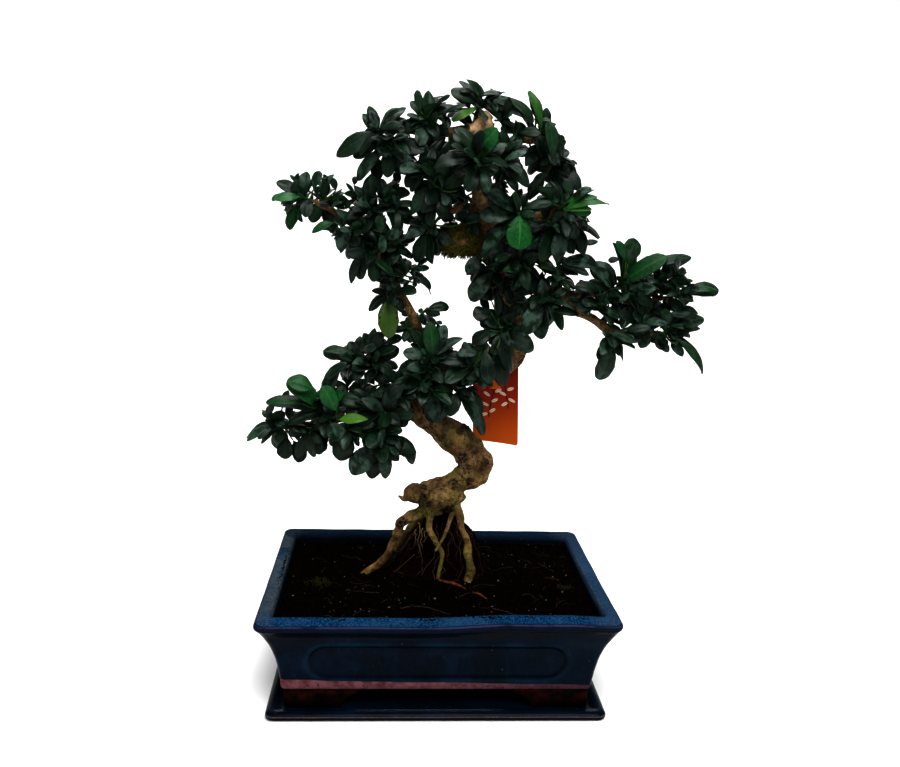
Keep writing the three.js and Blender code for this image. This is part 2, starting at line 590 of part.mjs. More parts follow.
/** The leaf blade on its short stalk: arched, flat above and keeled along the midrib below. */
function bladeSolid(leaf, grow) {
  const axis = leaf.tip.clone().sub(leaf.root);
  const length = axis.length();
  axis.normalize();
  const side = leaf.face.clone().cross(axis);
  const width = THREE.MathUtils.clamp(length * BLADE_WIDTH, NARROWEST, WIDEST);
  const stations = [[STALK_LENGTH / length, STALK_HALF_WIDTH / width], ...BLADE];
  const rings = stations.map(([distance, part]) => {
    const half = part * width + grow;
    const lift = length * BLADE_ARCH * 4 * distance * (1 - distance) + grow;
    const middle = leaf.root.clone().addScaledVector(axis, distance * length);
    middle.addScaledVector(leaf.face, lift);
    return [
      middle.clone().addScaledVector(side, half),
      middle.clone().addScaledVector(side, -half),
      middle.clone().addScaledVector(leaf.face, -BLADE_THICKNESS - 2 * grow),
    ];
  });
  const tip = leaf.tip.clone().addScaledVector(axis, grow * 2);
  return skin(grow > 0 ? [...rings, [tip]] : [[leaf.root], ...rings, [tip]]);
}

/** The outer part of a leaf, which keeps clear of the other leaves on its own twig. */
function shortened(leaf) {
  return { ...leaf, root: leaf.root.clone().lerp(leaf.tip, OWN_CLEAR_FROM) };
}

function boxesMeet(a, b) {
  return [0, 1, 2].every((i) => a.min[i] < b.max[i] && b.min[i] < a.max[i]);
}

function meets(solid, others) {
  const box = solid.boundingBox();
  return others.some((other) => boxesMeet(box, other.box) && solid.intersect(other.solid).volume() > 0);
}

function boxed(solid) {
  return { solid, box: solid.boundingBox() };
}

/** The leaves of one shoot that stand clear of every other piece and of each other's blades. */
function leavesOf(line, row, index, others) {
  const random = seeded(FIRST_SEED + index);
  const own = [];
  for (let i = 0; i < row[2] + row[4].length; i += 1) {
    for (let attempt = 0; attempt < ATTEMPTS; attempt += 1) {
      const leaf = leafTry(line, row, i, attempt, random);
      const guard = bladeSolid(leaf, CLEARANCE);
      if (!meets(guard, others) && !meets(bladeSolid(shortened(leaf), CLEARANCE), own)) {
        own.push(boxed(bladeSolid(leaf, 0)));
        break;
      }
    }
  }
  return own.map((item) => item.solid);
}

/** The plant label: a slightly bent plate whose strap goes round the trunk. */
function label() {
  const outline = new THREE.Shape();
  outline.moveTo(-LABEL_WIDTH / 2, 0);
  outline.quadraticCurveTo(0, 2 * LABEL_BEND, LABEL_WIDTH / 2, 0);
  outline.lineTo(LABEL_WIDTH / 2, -LABEL_THICKNESS);
  outline.quadraticCurveTo(0, 2 * LABEL_BEND - LABEL_THICKNESS, -LABEL_WIDTH / 2, -LABEL_THICKNESS);
  const plate = new THREE.ExtrudeGeometry(outline, {
    depth: LABEL_HEIGHT,
    bevelEnabled: false,
    curveSegments: 6,
  });
  plate.translate(LABEL_X, LABEL_Y, LABEL_TOP - LABEL_HEIGHT);
  const ring = new THREE.Shape();
  ring.absarc(0, 0, STRAP_RADIUS + STRAP_THICKNESS, 0, 2 * Math.PI, false);
  const hole = new THREE.Path();
  hole.absarc(0, 0, STRAP_RADIUS, 0, 2 * Math.PI, true);
  ring.holes.push(hole);
  const strap = new THREE.ExtrudeGeometry(ring, {
    depth: STRAP_WIDTH,
    bevelEnabled: false,
    curveSegments: 9,
  });
  strap.rotateY(Math.PI / 2);
  strap.translate(STRAP_CENTRE[0] - STRAP_WIDTH / 2, STRAP_CENTRE[1], STRAP_CENTRE[2]);
  return solidFrom(plate).add(solidFrom(strap));
}

const lines = SHOOTS.map(([limb, hub]) => shootLine(limb, hub));
const woodSolid = wood(lines);
const soilSolid = soil();
const labelSolid = label();
const twigs = lines.map(twigSolid);

addMesh("saucer", saucer(), 0x16263c, 0.3);
addMesh("pot", pot(), 0x16304f, 0.28);
addMesh("soil", soilSolid, 0x17110c, 0.95);
addMesh("wood", woodSolid, 0x6b5b41, 0.85);
addMesh("label", labelSolid, 0xd9500f, 0.45);

const placed = [woodSolid, soilSolid, labelSolid, ...twigs].map(boxed);
SHOOTS.forEach((row, index) => {
  const ownTwig = placed[3 + index];
  const others = placed.filter((item) => item !== ownTwig);
  const leaves = leavesOf(lines[index], row, index, others);
  const shoot = joined([twigs[index], ...leaves]);
  placed.push(boxed(shoot));
  addMesh(`shoot_${String(index + 1).padStart(2, "0")}`, shoot, 0x1d4a2c, 0.35);
});

export default group;
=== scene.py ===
import itertools
import math
import random

import bmesh
import bpy
import numpy as np
from mathutils import Matrix, Vector, bvhtree, kdtree, noise


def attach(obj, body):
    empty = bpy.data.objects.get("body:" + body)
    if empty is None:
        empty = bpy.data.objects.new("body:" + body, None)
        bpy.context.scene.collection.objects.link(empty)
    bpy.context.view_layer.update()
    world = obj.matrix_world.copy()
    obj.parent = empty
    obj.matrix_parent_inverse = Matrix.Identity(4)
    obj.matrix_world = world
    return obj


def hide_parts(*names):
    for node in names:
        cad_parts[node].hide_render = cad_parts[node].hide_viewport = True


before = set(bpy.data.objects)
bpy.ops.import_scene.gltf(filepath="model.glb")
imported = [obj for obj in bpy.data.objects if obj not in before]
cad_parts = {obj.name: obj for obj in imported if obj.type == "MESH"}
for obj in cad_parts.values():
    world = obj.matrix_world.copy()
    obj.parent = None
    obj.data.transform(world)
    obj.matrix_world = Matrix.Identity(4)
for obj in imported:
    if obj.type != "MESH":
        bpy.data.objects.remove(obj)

# Fukien tea bonsai in a glazed pot. The tables are in millimetres, as in the CAD, and meshes in metres.
MM = 0.001
IMAGE = (900, 767)
SENSOR = 36.0

# Pot and saucer, as in the CAD: profile rows are [inset from the rim's outer edge, height].
POT_SIZE = (260, 190)
POT_CORNER = 7
SAUCER_SIZE = (245, 175)
SAUCER_CORNER = 6
SOIL_TOP = 69.5
# The sunk panel's width, lower edge, upper edge and depth.
PANEL = (184, 29.5, 56.5, 1.2)
# The drain holes' distance from the middle, and their radius.
DRAINS = (55, 7)
# How far the rim's inner edge is moved in at the front, back behind, out at the sides, and up in front.
RIM_LEAN = (3.4, 1.5, 1.2, 1.3)
# How far the front rim stands up on its right half, where the clay has warped.
RIM_LIFT = 2.6
# A foot's length along the long and the short side, its thickness and its inset from the rim.
FOOT = (42, 32, 11, 19)
SAUCER_FLOOR = 3.6
FOOT_GAP = 0.3
# Where the glaze ends: its height, that of the dark feet under it, both in metres, and its slope along X.
POT_CLAY_LINE = (0.0243, 0.0196, -0.019)
SAUCER_CLAY_LINE = (-0.01, -0.02, 0.0)
# The soil bed's half sizes, where its edge starts to sink, and the part where crumbs lie.
BED = (117.4, 82.4)
BED_EDGE = (117.6, 82.6)
BED_REACH = (117, 82)
# Rings and sides of the root ball, and how many crumbs lie on the bed and on the ball.
BALL_RINGS, BALL_SIDES = 46, 110
LOOSE_CRUMBS = 2000
BALL_CRUMBS = 600
PALE_GRIT = 110
POT_OUTSIDE = [
    [18, 19],
    [17, 20.5],
    [16.6, 27],
    [15.4, 35],
    [13.2, 45],
    [10, 55],
    [6, 63.5],
    [2.4, 69.5],
    [0.4, 72],
    [0.2, 74.4],
    [1.6, 76],
]
# The root ball, from bottom to top: [x, y, height, half width, half depth].
HEAP = [
    [4, 34, 64, 48, 36],
    [4, 34, 76, 38, 29],
    [5, 33, 88, 31, 24],
    [7, 31, 99, 25, 18.5],
    [5, 27, 110, 16, 12.5],
    [5, 23, 121, 10, 8],
]
# Wood as rows of [x, y, z, radius].
TRUNK = [
    [-17, 8, 137, 6.5], [-7, 8, 139, 10.5], [5, 8, 141, 11.5], [16, 8, 149, 9.3], [25, 9, 155, 11.5],
    [30, 10, 163, 13], [23, 11, 175, 13], [12, 10, 185, 12.5], [-1, 8, 195, 10.5], [-15, 6, 207, 10.2],
    [-18, 6, 220, 9.8], [-8, 10, 232, 10], [15, 16, 237, 10.5], [41, 22, 238, 10.5], [56, 24, 250, 9.8],
    [58, 24, 266, 9.5], [52, 22, 288, 10.5], [46, 20, 306, 10.5], [40, 18, 325, 9.5], [33, 15, 342, 9.2],
    [28, 12, 359, 8], [26, 10, 374, 7.4], [24, 8, 391, 7], [24, 6, 407, 6.6], [27, 5, 424, 6.4],
]
ROOTS = [
    [[-1, 8, 131, 9], [-13, 6, 124, 6], [-27, 4, 118, 5.4], [-31, 5, 106, 4], [-35, 8, 94, 4.2],
       [-42, 11, 82, 4.2], [-53, 13, 71, 4], [-66, 15, 62, 3]],
    [[-5, 6, 130, 5], [-6, 2, 123, 4], [-5, 0, 112, 3.5], [0, 0, 102, 3.1], [4, 0, 92, 2.6],
       [4, 0, 80, 2.4], [2, 1, 70, 2.3], [0, 2, 58, 2]],
    [[11, 8, 133, 7], [18, 6, 123, 3.6], [20, 3, 111, 3.1], [24, 1, 102, 3.7], [26, -1, 91, 4.2],
       [27, -1, 80, 4.2], [27, -1, 70, 3.8], [28, 0, 56, 3]],
    [[12, 6, 126, 2.6], [9, 1, 117, 1.7], [4, -4, 107, 1.4], [-1, -5, 96, 1.2]],
    [[8, 14, 131, 7], [17, 34, 112, 4.2], [24, 54, 92, 4.2], [28, 68, 72, 4], [30, 76, 58, 3]],
    [[-4, 14, 131, 7], [-14, 35, 108, 3.8], [-24, 52, 86, 3.8], [-30, 62, 70, 3.6], [-34, 67, 58, 3]],
]
LIMBS = {
    "low_left": [[-17, 6, 215, 5], [-28, 6, 220, 3.9], [-39, 2, 217, 3.3], [-48, -6, 206, 2.9],
       [-61, -9, 200, 2.6], [-76, -11, 205, 2.4]],
    "low_up": [[-34, 5, 219, 2.8], [-45, 9, 228, 2.4], [-54, 11, 238, 2]],
    "low_down": [[-42, 0, 214, 2.8], [-43, -10, 203, 2.4]],
    "low_back": [[-22, 6, 217, 4], [-34, 20, 217, 3], [-50, 34, 213, 2.4], [-70, 44, 204, 1.9]],
    "far_left": [[-72, -10, 204, 2.2], [-84, -9, 200, 2], [-96, -6, 198, 1.9], [-114, -2, 196, 1.6]],
    "slim": [[-10, 10, 227, 6], [-13, 8, 249, 4.4], [-18, 6, 269, 3.9], [-28, 4, 289, 3.7],
       [-38, 3, 305, 3.5], [-47, 2, 319, 3.4], [-50, 0, 336, 3.2], [-49, -2, 356, 2.6]],
    "left_arm": [[-50, -1, 347, 3], [-62, -2, 348, 2.7], [-74, -2, 350, 2.5], [-84, -1, 357, 2.2],
       [-95, 0, 362, 1.9]],
    "right_arm": [[51, 22, 297, 6], [69, 14, 304, 4.8], [86, 8, 299, 4.4], [102, 5, 287, 3.8],
       [115, 3, 281, 3.3], [128, 0, 272, 3], [144, -2, 272, 2.6], [163, -3, 273, 2]],
    "right_up": [[88, 7, 298, 3.6], [108, 10, 300, 2.8], [128, 12, 298, 2.4], [150, 12, 294, 2.1],
       [167, 10, 298, 1.7]],
    "arm_back": [[120, 2, 277, 2.8], [133, 22, 285, 2.4], [151, 38, 290, 1.9]],
    "stub": [[32, 13, 351, 5], [53, 6, 356, 3.6], [73, 2, 358, 3.2], [89, 0, 363, 3]],
    "top_left": [[23, 6, 417, 5.4], [2, 4, 415, 3.7], [-18, 2, 415, 3.1], [-35, 0, 415, 2.6],
       [-50, -2, 413, 2.2], [-64, -3, 410, 1.8]],
    "top_spur": [[-17, 2, 415, 2.6], [-21, 4, 428, 2.3], [-24, 5, 437, 1.7]],
    "top_right": [[24, 8, 402, 5], [42, 14, 409, 3.5], [61, 18, 413, 2.8], [77, 20, 406, 2]],
    "front": [[27, 10, 368, 4.5], [23, -8, 379, 3.4], [19, -24, 390, 2.2]],
    "back_left": [[27, 12, 366, 5], [19, 32, 384, 3.6], [6, 52, 395, 2.8], [-6, 66, 392, 2]],
    "back_right": [[45, 20, 311, 5], [61, 40, 329, 3.8], [79, 58, 341, 2.8], [94, 72, 349, 2]],
    "crown_left": [[26, 8, 384, 4], [10, 0, 386, 3], [-6, -6, 386, 2.4], [-13, -8, 381, 1.9]],
    "crown_low": [[28, 12, 362, 4], [11, 4, 361, 3], [-4, 0, 355, 2.1]],
    "crown_tip": [[23, 9, 406, 4], [19, 16, 419, 2.6], [20, 13, 429, 1.9]],
}
# Swellings of the wood: [x, y, z, half width, half depth, half height].
SWELLINGS = [
    [1, 8, 139, 21, 14, 11.5],
    [-17, 6, 140, 10, 9, 8],
    [9, 7, 338, 17, 13, 11],
]
SPUR = [[-18, 6, 138, 2.6], [-26, 5, 135, 1.8], [-31, 5, 138, 0.8]]
# Leafy shoots: [limb, hub, leaves set by rule, leaf length, tips of leaves listed from the hub].
SHOOTS = [
    ["left_arm", [-107, 0, 366], 2, 21,
     [[-20, -4, -3], [-17, 2, 10], [4, 4, 18], [14, -3, 16], [-8, -4, -24]]],
    ["left_arm", [-90, 7, 366], 3, 18, [[6, 4, 17], [19, 2, -4], [-10, 6, -19]]],
    ["left_arm", [-57, -10, 363], 4, 20, [[2, 2, 21], [-16, -8, -12], [-11, 2, 12]]],
    ["slim", [-40, -6, 363], 5, 20, [[2, -10, -19]]],
    ["left_arm", [-67, -9, 343], 4, 20, [[-10, -4, -16]]],
    ["slim", [-58, -12, 334], 4, 22, [[-7, -6, -23], [6, -8, -17]]],
    ["slim", [-36, -9, 335], 5, 21, [[13, 0, 5], [-3, -6, -15]]],
    ["slim", [-26, -1, 317], 2, 18, [[14, -6, 0], [17, 2, -19]]],
    ["slim", [-42, -7, 298], 3, 19, [[-12, 0, 2], [-14, -2, -13], [1, -4, -33]]],
    ["slim", [-13, -3, 287], 0, 18, [[17, 4, 2], [10, -3, -4], [-3, -7, -11]]],
    ["top_left", [-52, -14, 413], 3, 20, [[-4, 4, 14], [-28, 0, -19], [-11, -6, -18], [20, 8, 17]]],
    ["top_left", [-43, -9, 402], 5, 22, [[-22, -2, -24], [-1, -4, -21], [16, -8, -11], [25, -6, -2]]],
    ["top_spur", [-17, -7, 424], 2, 21,
     [[1, 6, 19], [14, 8, 15], [25, 8, 9], [-18, -2, -10], [9, -6, -15]]],
    ["crown_tip", [24, 9, 437], 3, 24,
       [[-12, -3, 16], [-24, -5, 7], [36, 8, -8], [20, -8, -16], [-22, -12, -15]]],
    ["top_right", [69, 17, 419], 3, 24, [[-10, 0, 29], [5, 6, 18], [-20, 8, -5]]],
    ["top_right", [77, 9, 395], 3, 24, [[-6, -6, 31], [13, 6, 11], [19, 0, -5], [22, -6, -18]]],
    ["front", [16, -36, 396], 2, 24,
     [[14, -4, 20], [-13, 4, 20], [-28, -6, -7], [-4, -8, -23], [22, -2, 9]]],
    ["trunk", [39, -16, 395], 4, 22, [[14, -4, 7], [17, -8, -17]]],
    ["crown_left", [-18, -13, 391], 5, 24, [[-13, -8, -16]]],
    ["crown_left", [-4, -20, 373], 5, 24, [[-16, -4, -15], [0, -8, -19]]],
    ["crown_low", [-14, -4, 343], 3, 21, [[-8, 0, -22], [3, -5, -23]]],
    ["stub", [50, -22, 359], 1, 24,
     [[0, -8, -25], [-27, -4, 16], [-28, -2, -3], [23, 2, 11], [-24, -2, -31]]],
    ["stub", [84, -13, 367], 0, 24, [[23, 6, 11], [34, 4, 1], [20, 0, -5], [-10, 8, 16]]],
    ["stub", [95, 6, 353], 3, 23, [[22, 2, -10], [9, -5, -24]]],
    ["stub", [77, -9, 351], 4, 22, [[-8, -8, -26], [11, -2, -17]]],
    ["right_arm", [86, 2, 324], 3, 21, [[29, 2, 0], [22, -5, -9], [-6, -8, -18]]],
    ["trunk", [57, -13, 321], 5, 22, [[-16, -6, -3], [3, -6, -17]]],
    ["trunk", [37, 0, 316], 4, 22, [[-18, -2, -22], [-9, 4, 9]]],
    ["right_arm", [73, -8, 296], 3, 24, [[-14, -6, -26], [0, -2, -29], [16, -1, -22]]],
    ["trunk", [45, 2, 271], 4, 21, [[-21, 0, 15], [-18, -3, -5], [24, -4, -14], [-7, -6, -18]]],
    ["trunk", [24, -5, 245], 3, 24, [[14, -8, -14], [4, 0, 17]]],
    ["slim", [-8, -14, 252], 3, 24, [[-3, 0, 27], [9, 4, 24], [22, 4, 15], [-22, 2, 3]]],
    ["trunk", [-14, -14, 234], 2, 24, [[0, -6, -19], [11, -6, -31], [-15, -4, -9]]],
    ["trunk", [13, -9, 226], 2, 24, [[-6, -6, -18], [20, 0, -34], [20, 6, -17]]],
    ["low_left", [-90, -15, 212], 3, 21,
       [[-24, -4, 22], [-40, -4, 5], [15, 2, 33], [16, -8, 14], [-23, -8, -10]]],
    ["far_left", [-125, -2, 196], 3, 20, [[-23, 0, -11], [6, -4, -21], [-11, 4, 10]]],
    ["far_left", [-98, -17, 194], 3, 21, [[3, -2, -19], [-10, 3, -21]]],
    ["low_left", [-72, -21, 197], 2, 22, [[1, -2, -20], [-11, 4, -13], [19, -4, -1]]],
    ["low_down", [-46, -20, 187], 0, 27,
       [[-21, -6, -22], [-4, 0, -26], [7, 6, -22], [28, -2, -6], [15, -10, -10], [17, 2, 10]]],
    ["low_left", [-42, -18, 210], 3, 25, [[-18, -6, 12], [11, -6, -7]]],
    ["low_up", [-66, 13, 243], 4, 20, [[-25, 4, 8], [-5, 4, 15]]],
    ["low_up", [-52, 6, 246], 3, 20, [[-8, 2, 20], [4, -2, 22], [19, 2, 9]]],
    ["low_left", [-32, -6, 230], 4, 21, [[-12, -4, 11], [7, 4, 15]]],
    ["right_up", [135, 3, 310], 1, 27, [[4, 3, 33], [-10, -4, 30], [-25, 0, 16], [31, -6, 21]]],
    ["right_up", [164, 12, 314], 3, 23, [[26, 2, 16], [15, -6, 7]]],
    ["right_arm", [116, -8, 297], 3, 22, [[-15, -8, -1], [10, -6, -17]]],
    ["right_up", [183, 9, 302], 2, 24, [[29, 0, 5], [8, -6, -5], [-20, -10, 2]]],
    ["right_arm", [174, -3, 274], 2, 24, [[25, 4, 12], [20, -6, 4], [28, 0, -31], [-14, 0, 16]]],
    ["right_arm", [126, -13, 268], 0, 24, [[-7, 2, -31], [10, 0, -15], [24, 0, 3]]],
    ["back_left", [-5, 72, 404], 8, 25, []],
    ["back_left", [19, 60, 394], 7, 25, []],
    ["back_right", [98, 80, 352], 8, 25, []],
    ["back_right", [73, 68, 350], 7, 25, []],
    ["arm_back", [159, 46, 295], 7, 24, []],
    ["low_back", [-76, 50, 206], 8, 24, []],
]

# The CAD's rule for side shoots and leaves.
TWIG_LENGTH = 13
TWIG_RADIUS = 1.1
SHOOT_RADIUS = 1.7
STEPS_PER_SPAN = 6
STEPS_BACK = 3
SPUR_LENGTH = 2.5
LEAF_START = 1.2
LEAFY_PART = 0.65
ATTEMPTS = 8
DRIFT = 1.6
LENGTH_SPREAD = 0.36
ROLL_SPREAD = 1.1
FIRST_SEED = 101
OPEN_SIDE_FROM = 30
BLADE_WIDTH = 0.44
NARROWEST = 8
WIDEST = 14
BLADE_ARCH = 0.1
GOLDEN_TURN = math.radians(137.5)

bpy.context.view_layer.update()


def unit(vector):
    return vector / max(np.linalg.norm(vector), 1e-12)


def vec(values):
    return np.array(values[:3], float)


# Meshes


def make_piece(name, verts, faces, material, nodes=(), smooth=True, data=None):
    """A mesh object from points in millimetres, riding on the body and standing for its CAD nodes."""
    mesh = bpy.data.meshes.new(name)
    mesh.from_pydata((np.asarray(verts, float) * MM).tolist(), [], faces)
    mesh.validate()
    carry(mesh, data or {})
    mesh.polygons.foreach_set("use_smooth", [smooth] * len(mesh.polygons))
    piece = bpy.data.objects.new(name, mesh)
    bpy.context.collection.objects.link(piece)
    return settle(piece, material, nodes)


def carry(mesh, data):
    """Writes rows of three numbers for each point, for the materials to read."""
    for key, values in data.items():
        if key in mesh.attributes:
            mesh.attributes.remove(mesh.attributes[key])
        attribute = mesh.attributes.new(key, "FLOAT_VECTOR", "POINT")
        attribute.data.foreach_set("vector", np.asarray(values, np.float32).ravel())


def settle(piece, material, nodes):
    piece.data.materials.clear()
    piece.data.materials.append(material)
    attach(piece, "root")
    if nodes:
        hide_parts(*nodes)
    return piece


class Heap:
    """Gathers points, faces and point data of many small forms for one mesh."""

    def __init__(self, *keys):
        self.verts, self.faces = [], []
        self.count = 0
        self.data = {key: [] for key in keys}

    def add(self, verts, faces, **data):
        self.verts.append(np.asarray(verts, float))
        self.faces.extend([tuple(int(i) + self.count for i in face) for face in faces])
        self.count += len(verts)
        for key, rows in self.data.items():
            values = np.asarray(data.get(key, (0, 0, 0)), float)
            rows.append(np.broadcast_to(values, (len(verts), 3)) if values.ndim == 1 else values)

    def piece(self, name, material, slot, nodes=(), smooth=True):
        data = {key: np.concatenate(rows) for key, rows in self.data.items()}
        return make_piece(name, np.concatenate(self.verts), self.faces, material, nodes, smooth, data)


def ring_faces(rings, sides, caps=True):
    """Quads between rings of points, with the ends closed."""
    faces = []
    for i in range(rings - 1):
        for k in range(sides):
            a, b = i * sides + k, i * sides + (k + 1) % sides
            faces.append((a, b, b + sides, a + sides))
    if caps:
        faces.append(tuple(range(sides - 1, -1, -1)))
        faces.append(tuple((rings - 1) * sides + k for k in range(sides)))
    return faces


def spline(rows, steps):
    """Points on the CAD's curve through rows of [x, y, z, radius], with the radius along it."""
    rows = np.array(rows, float)
    points, last = rows[:, :3], len(rows) - 1
    out = []
    for i in range(steps + 1):
        place = i / steps * last
        k = min(int(place), last - 1)
        t = place - k
        p1, p2 = points[k], points[k + 1]
        p0 = points[k - 1] if k > 0 else 2 * points[0] - points[1]
        p3 = points[k + 2] if k + 2 <= last else 2 * points[last] - points[last - 1]
        d0, d1, d2 = (max(np.linalg.norm(b - a) ** 0.5, 1e-4) for a, b in ((p0, p1), (p1, p2), (p2, p3)))
        m1 = ((p1 - p0) / d0 - (p2 - p0) / (d0 + d1) + (p2 - p1) / d1) * d1
        m2 = ((p2 - p1) / d1 - (p3 - p1) / (d1 + d2) + (p3 - p2) / d2) * d1
        point = ((2 * t**3 - 3 * t**2 + 1) * p1 + (t**3 - 2 * t**2 + t) * m1
                 + (3 * t**2 - 2 * t**3) * p2 + (t**3 - t**2) * m2)
        out.append([*point, rows[k, 3] * (1 - t) + rows[k + 1, 3] * t])
    return np.array(out)


def tube(route, sides, rough=0.0, tip=0.5, seed=0):
    """A closed tube along route rows of [x, y, z, radius], with rounded ends and an uneven skin."""
    centres, radii = route[:, :3], route[:, 3]
    along = np.gradient(centres, axis=0)
    along /= np.maximum(np.linalg.norm(along, axis=1, keepdims=True), 1e-9)
    first = np.cross(along[0], (0.3, 0.9, 0.31))
    normal = unit(first)
    verts = []
    for centre, axis, radius in zip(centres, along, radii):
        normal = unit(normal - axis * normal.dot(axis))
        other = np.cross(axis, normal)
        for k in range(sides):
            angle = 2 * math.pi * k / sides
            spoke = normal * math.cos(angle) + other * math.sin(angle)
            size = radius
            if rough:
                place = Vector(centre * 0.09 + spoke * 0.9) + Vector((seed, 0, 0))
                size *= 1 + rough * noise.noise(place)
            verts.append(centre + spoke * size)
    faces = ring_faces(len(route), sides, caps=False)
    start, end = len(verts), len(verts) + 1
    verts += [centres[0] - along[0] * radii[0] * tip, centres[-1] + along[-1] * radii[-1] * tip]
    final = (len(route) - 1) * sides
    for k in range(sides):
        after = (k + 1) % sides
        faces.append((after, k, start))
        faces.append((final + k, final + after, end))
    return np.array(verts), faces


# Materials


def ink(red, green, blue):
    """An sRGB colour from 0 to 255 as Blender's linear colour."""
    def linear(value):
        value /= 255
        return value / 12.92 if value <= 0.04045 else ((value + 0.055) / 1.055) ** 2.4
    return (linear(red), linear(green), linear(blue), 1.0)


class Shade:
    """A small helper that builds one procedural material."""

    def __init__(self, name):
        self.material = bpy.data.materials.new(name)
        self.material.use_nodes = True
        self.tree = self.material.node_tree
        self.surface = self.tree.nodes["Principled BSDF"]
        self.place = self.node("ShaderNodeTexCoord").outputs["Object"]

    def node(self, kind, **settings):
        node = self.tree.nodes.new(kind)
        for key, value in settings.items():
            setattr(node, key, value)
        return node

    def feed(self, socket, value):
        if isinstance(value, bpy.types.NodeSocket):
            self.tree.links.new(value, socket)
        else:
            socket.default_value = value

    def stretched(self, x, y, z):
        node = self.node("ShaderNodeMapping")
        self.feed(node.inputs["Vector"], self.place)
        node.inputs["Scale"].default_value = (x, y, z)
        return node.outputs["Vector"]

    def noise(self, scale, detail, rough, vector=None):
        node = self.node("ShaderNodeTexNoise")
        self.feed(node.inputs["Vector"], vector or self.place)
        node.inputs["Scale"].default_value = scale
        node.inputs["Detail"].default_value = detail
        node.inputs["Roughness"].default_value = rough
        return node.outputs["Fac"]

    def cells(self, scale, vector=None):
        """The distance to the middle of the nearest of many scattered spots."""
        node = self.node("ShaderNodeTexVoronoi")
        self.feed(node.inputs["Vector"], vector or self.place)
        node.inputs["Scale"].default_value = scale
        return node.outputs["Distance"]

    def attribute(self, name):
        """The three numbers that the mesh carries under this name."""
        node = self.node("ShaderNodeAttribute", attribute_name=name)
        split = self.node("ShaderNodeSeparateXYZ")
        self.feed(split.inputs[0], node.outputs["Vector"])
        return split.outputs

    def axes(self):
        split = self.node("ShaderNodeSeparateXYZ")
        self.feed(split.inputs[0], self.place)
        return split.outputs

    def span(self, value, low, high, to_low=0.0, to_high=1.0):
        node = self.node("ShaderNodeMapRange", interpolation_type="SMOOTHSTEP")
        for key, number in zip(("From Min", "From Max", "To Min", "To Max"), (low, high, to_low, to_high)):
            self.feed(node.inputs[key], number)
        self.feed(node.inputs["Value"], value)
        return node.outputs["Result"]

    def math(self, operation, a, b=0.0):
        node = self.node("ShaderNodeMath", operation=operation)
        self.feed(node.inputs[0], a)
        self.feed(node.inputs[1], b)
        return node.outputs[0]

    def times(self, a, b):
        return self.math("MULTIPLY", a, b)

    def plus(self, a, b):
        return self.math("ADD", a, b)

    def minus(self, a, b):
        return self.math("SUBTRACT", a, b)

    def most(self, a, b):
        return self.math("MAXIMUM", a, b)

    def turned(self, dx, dy, turn):
        """The distance along a way turned by this angle."""
        return self.plus(self.times(dx, math.cos(turn)), self.times(dy, math.sin(turn)))

    def mix(self, factor, a, b, blend="MIX"):
        node = self.node("ShaderNodeMix", data_type="RGBA", blend_type=blend)
        self.feed(node.inputs[0], factor)
        self.feed(node.inputs[6], a)
        self.feed(node.inputs[7], b)
        return node.outputs[2]

    def layered(self, base, layers):
        """A colour under layers of (how much, colour)."""
        for amount, tone in layers:
            base = self.mix(amount, base, tone)
        return base

    def ramp(self, value, stops):
        node = self.node("ShaderNodeValToRGB")
        elements = node.color_ramp.elements
        while len(elements) < len(stops):
            elements.new(0.5)
        for element, (place, colour) in zip(elements, stops):
            element.position = place
            element.color = colour
        self.feed(node.inputs["Fac"], value)
        return node.outputs["Color"]

    def bump(self, height, strength, distance):
        node = self.node("ShaderNodeBump")
        node.inputs["Strength"].default_value = strength
        node.inputs["Distance"].default_value = distance
        self.feed(node.inputs["Height"], height)
        return node.outputs["Normal"]

    def finish(self, colour, rough, normal=None, **settings):
        self.feed(self.surface.inputs["Base Color"], colour)
        self.feed(self.surface.inputs["Roughness"], rough)
        if normal:
            self.feed(self.surface.inputs["Normal"], normal)
        for key, value in settings.items():
            self.surface.inputs[key.replace("_", " ")].default_value = value
        return self.material


LIP_HEIGHT = POT_OUTSIDE[-1][1] * MM


def wall_glaze(shade, clouds, coarse):
    """The walls' dark blue, with runs, a painted highlight on the bead, painted shade in the groove and
    inside, and a painted shade under the lip.
    """
    x, _, z = shade.axes()
    bead, groove_shade, _ = shade.attribute("form")
    streaks = shade.noise(1.0, 5, 0.6, shade.stretched(95, 95, 9))
    runs = shade.noise(1.0, 4, 0.6, shade.stretched(230, 230, 20))
    body = shade.ramp(clouds, [(0.3, ink(2, 8, 16)), (0.5, ink(4, 15, 30)), (0.68, ink(6, 27, 46))])
    return shade.layered(body, [
        (shade.span(x, -0.03, 0.12, 0, 0.4), ink(4, 28, 44)),
        (shade.span(streaks, 0.48, 0.75, 0, 0.35), ink(6, 32, 54)),
        (shade.span(runs, 0.58, 0.76, 0, 0.25), ink(14, 50, 66)),
        (shade.span(coarse, 0.6, 0.74, 0, 0.3), ink(20, 48, 72)),
        # Painted highlight on the panel's bead; painted shade in its groove and on the inner wall; painted
        # shade under the lip.
        (shade.times(bead, shade.span(clouds, 0.4, 0.6, 0.08, 0.36)), ink(16, 56, 76)),
        (shade.times(groove_shade, shade.span(x, -0.09, 0.05, 0.3, 0.8)), ink(1, 4, 10)),
        (shade.span(z, LIP_HEIGHT - 0.016, LIP_HEIGHT - 0.006, 0, 0.6), ink(1, 4, 9)),
    ])


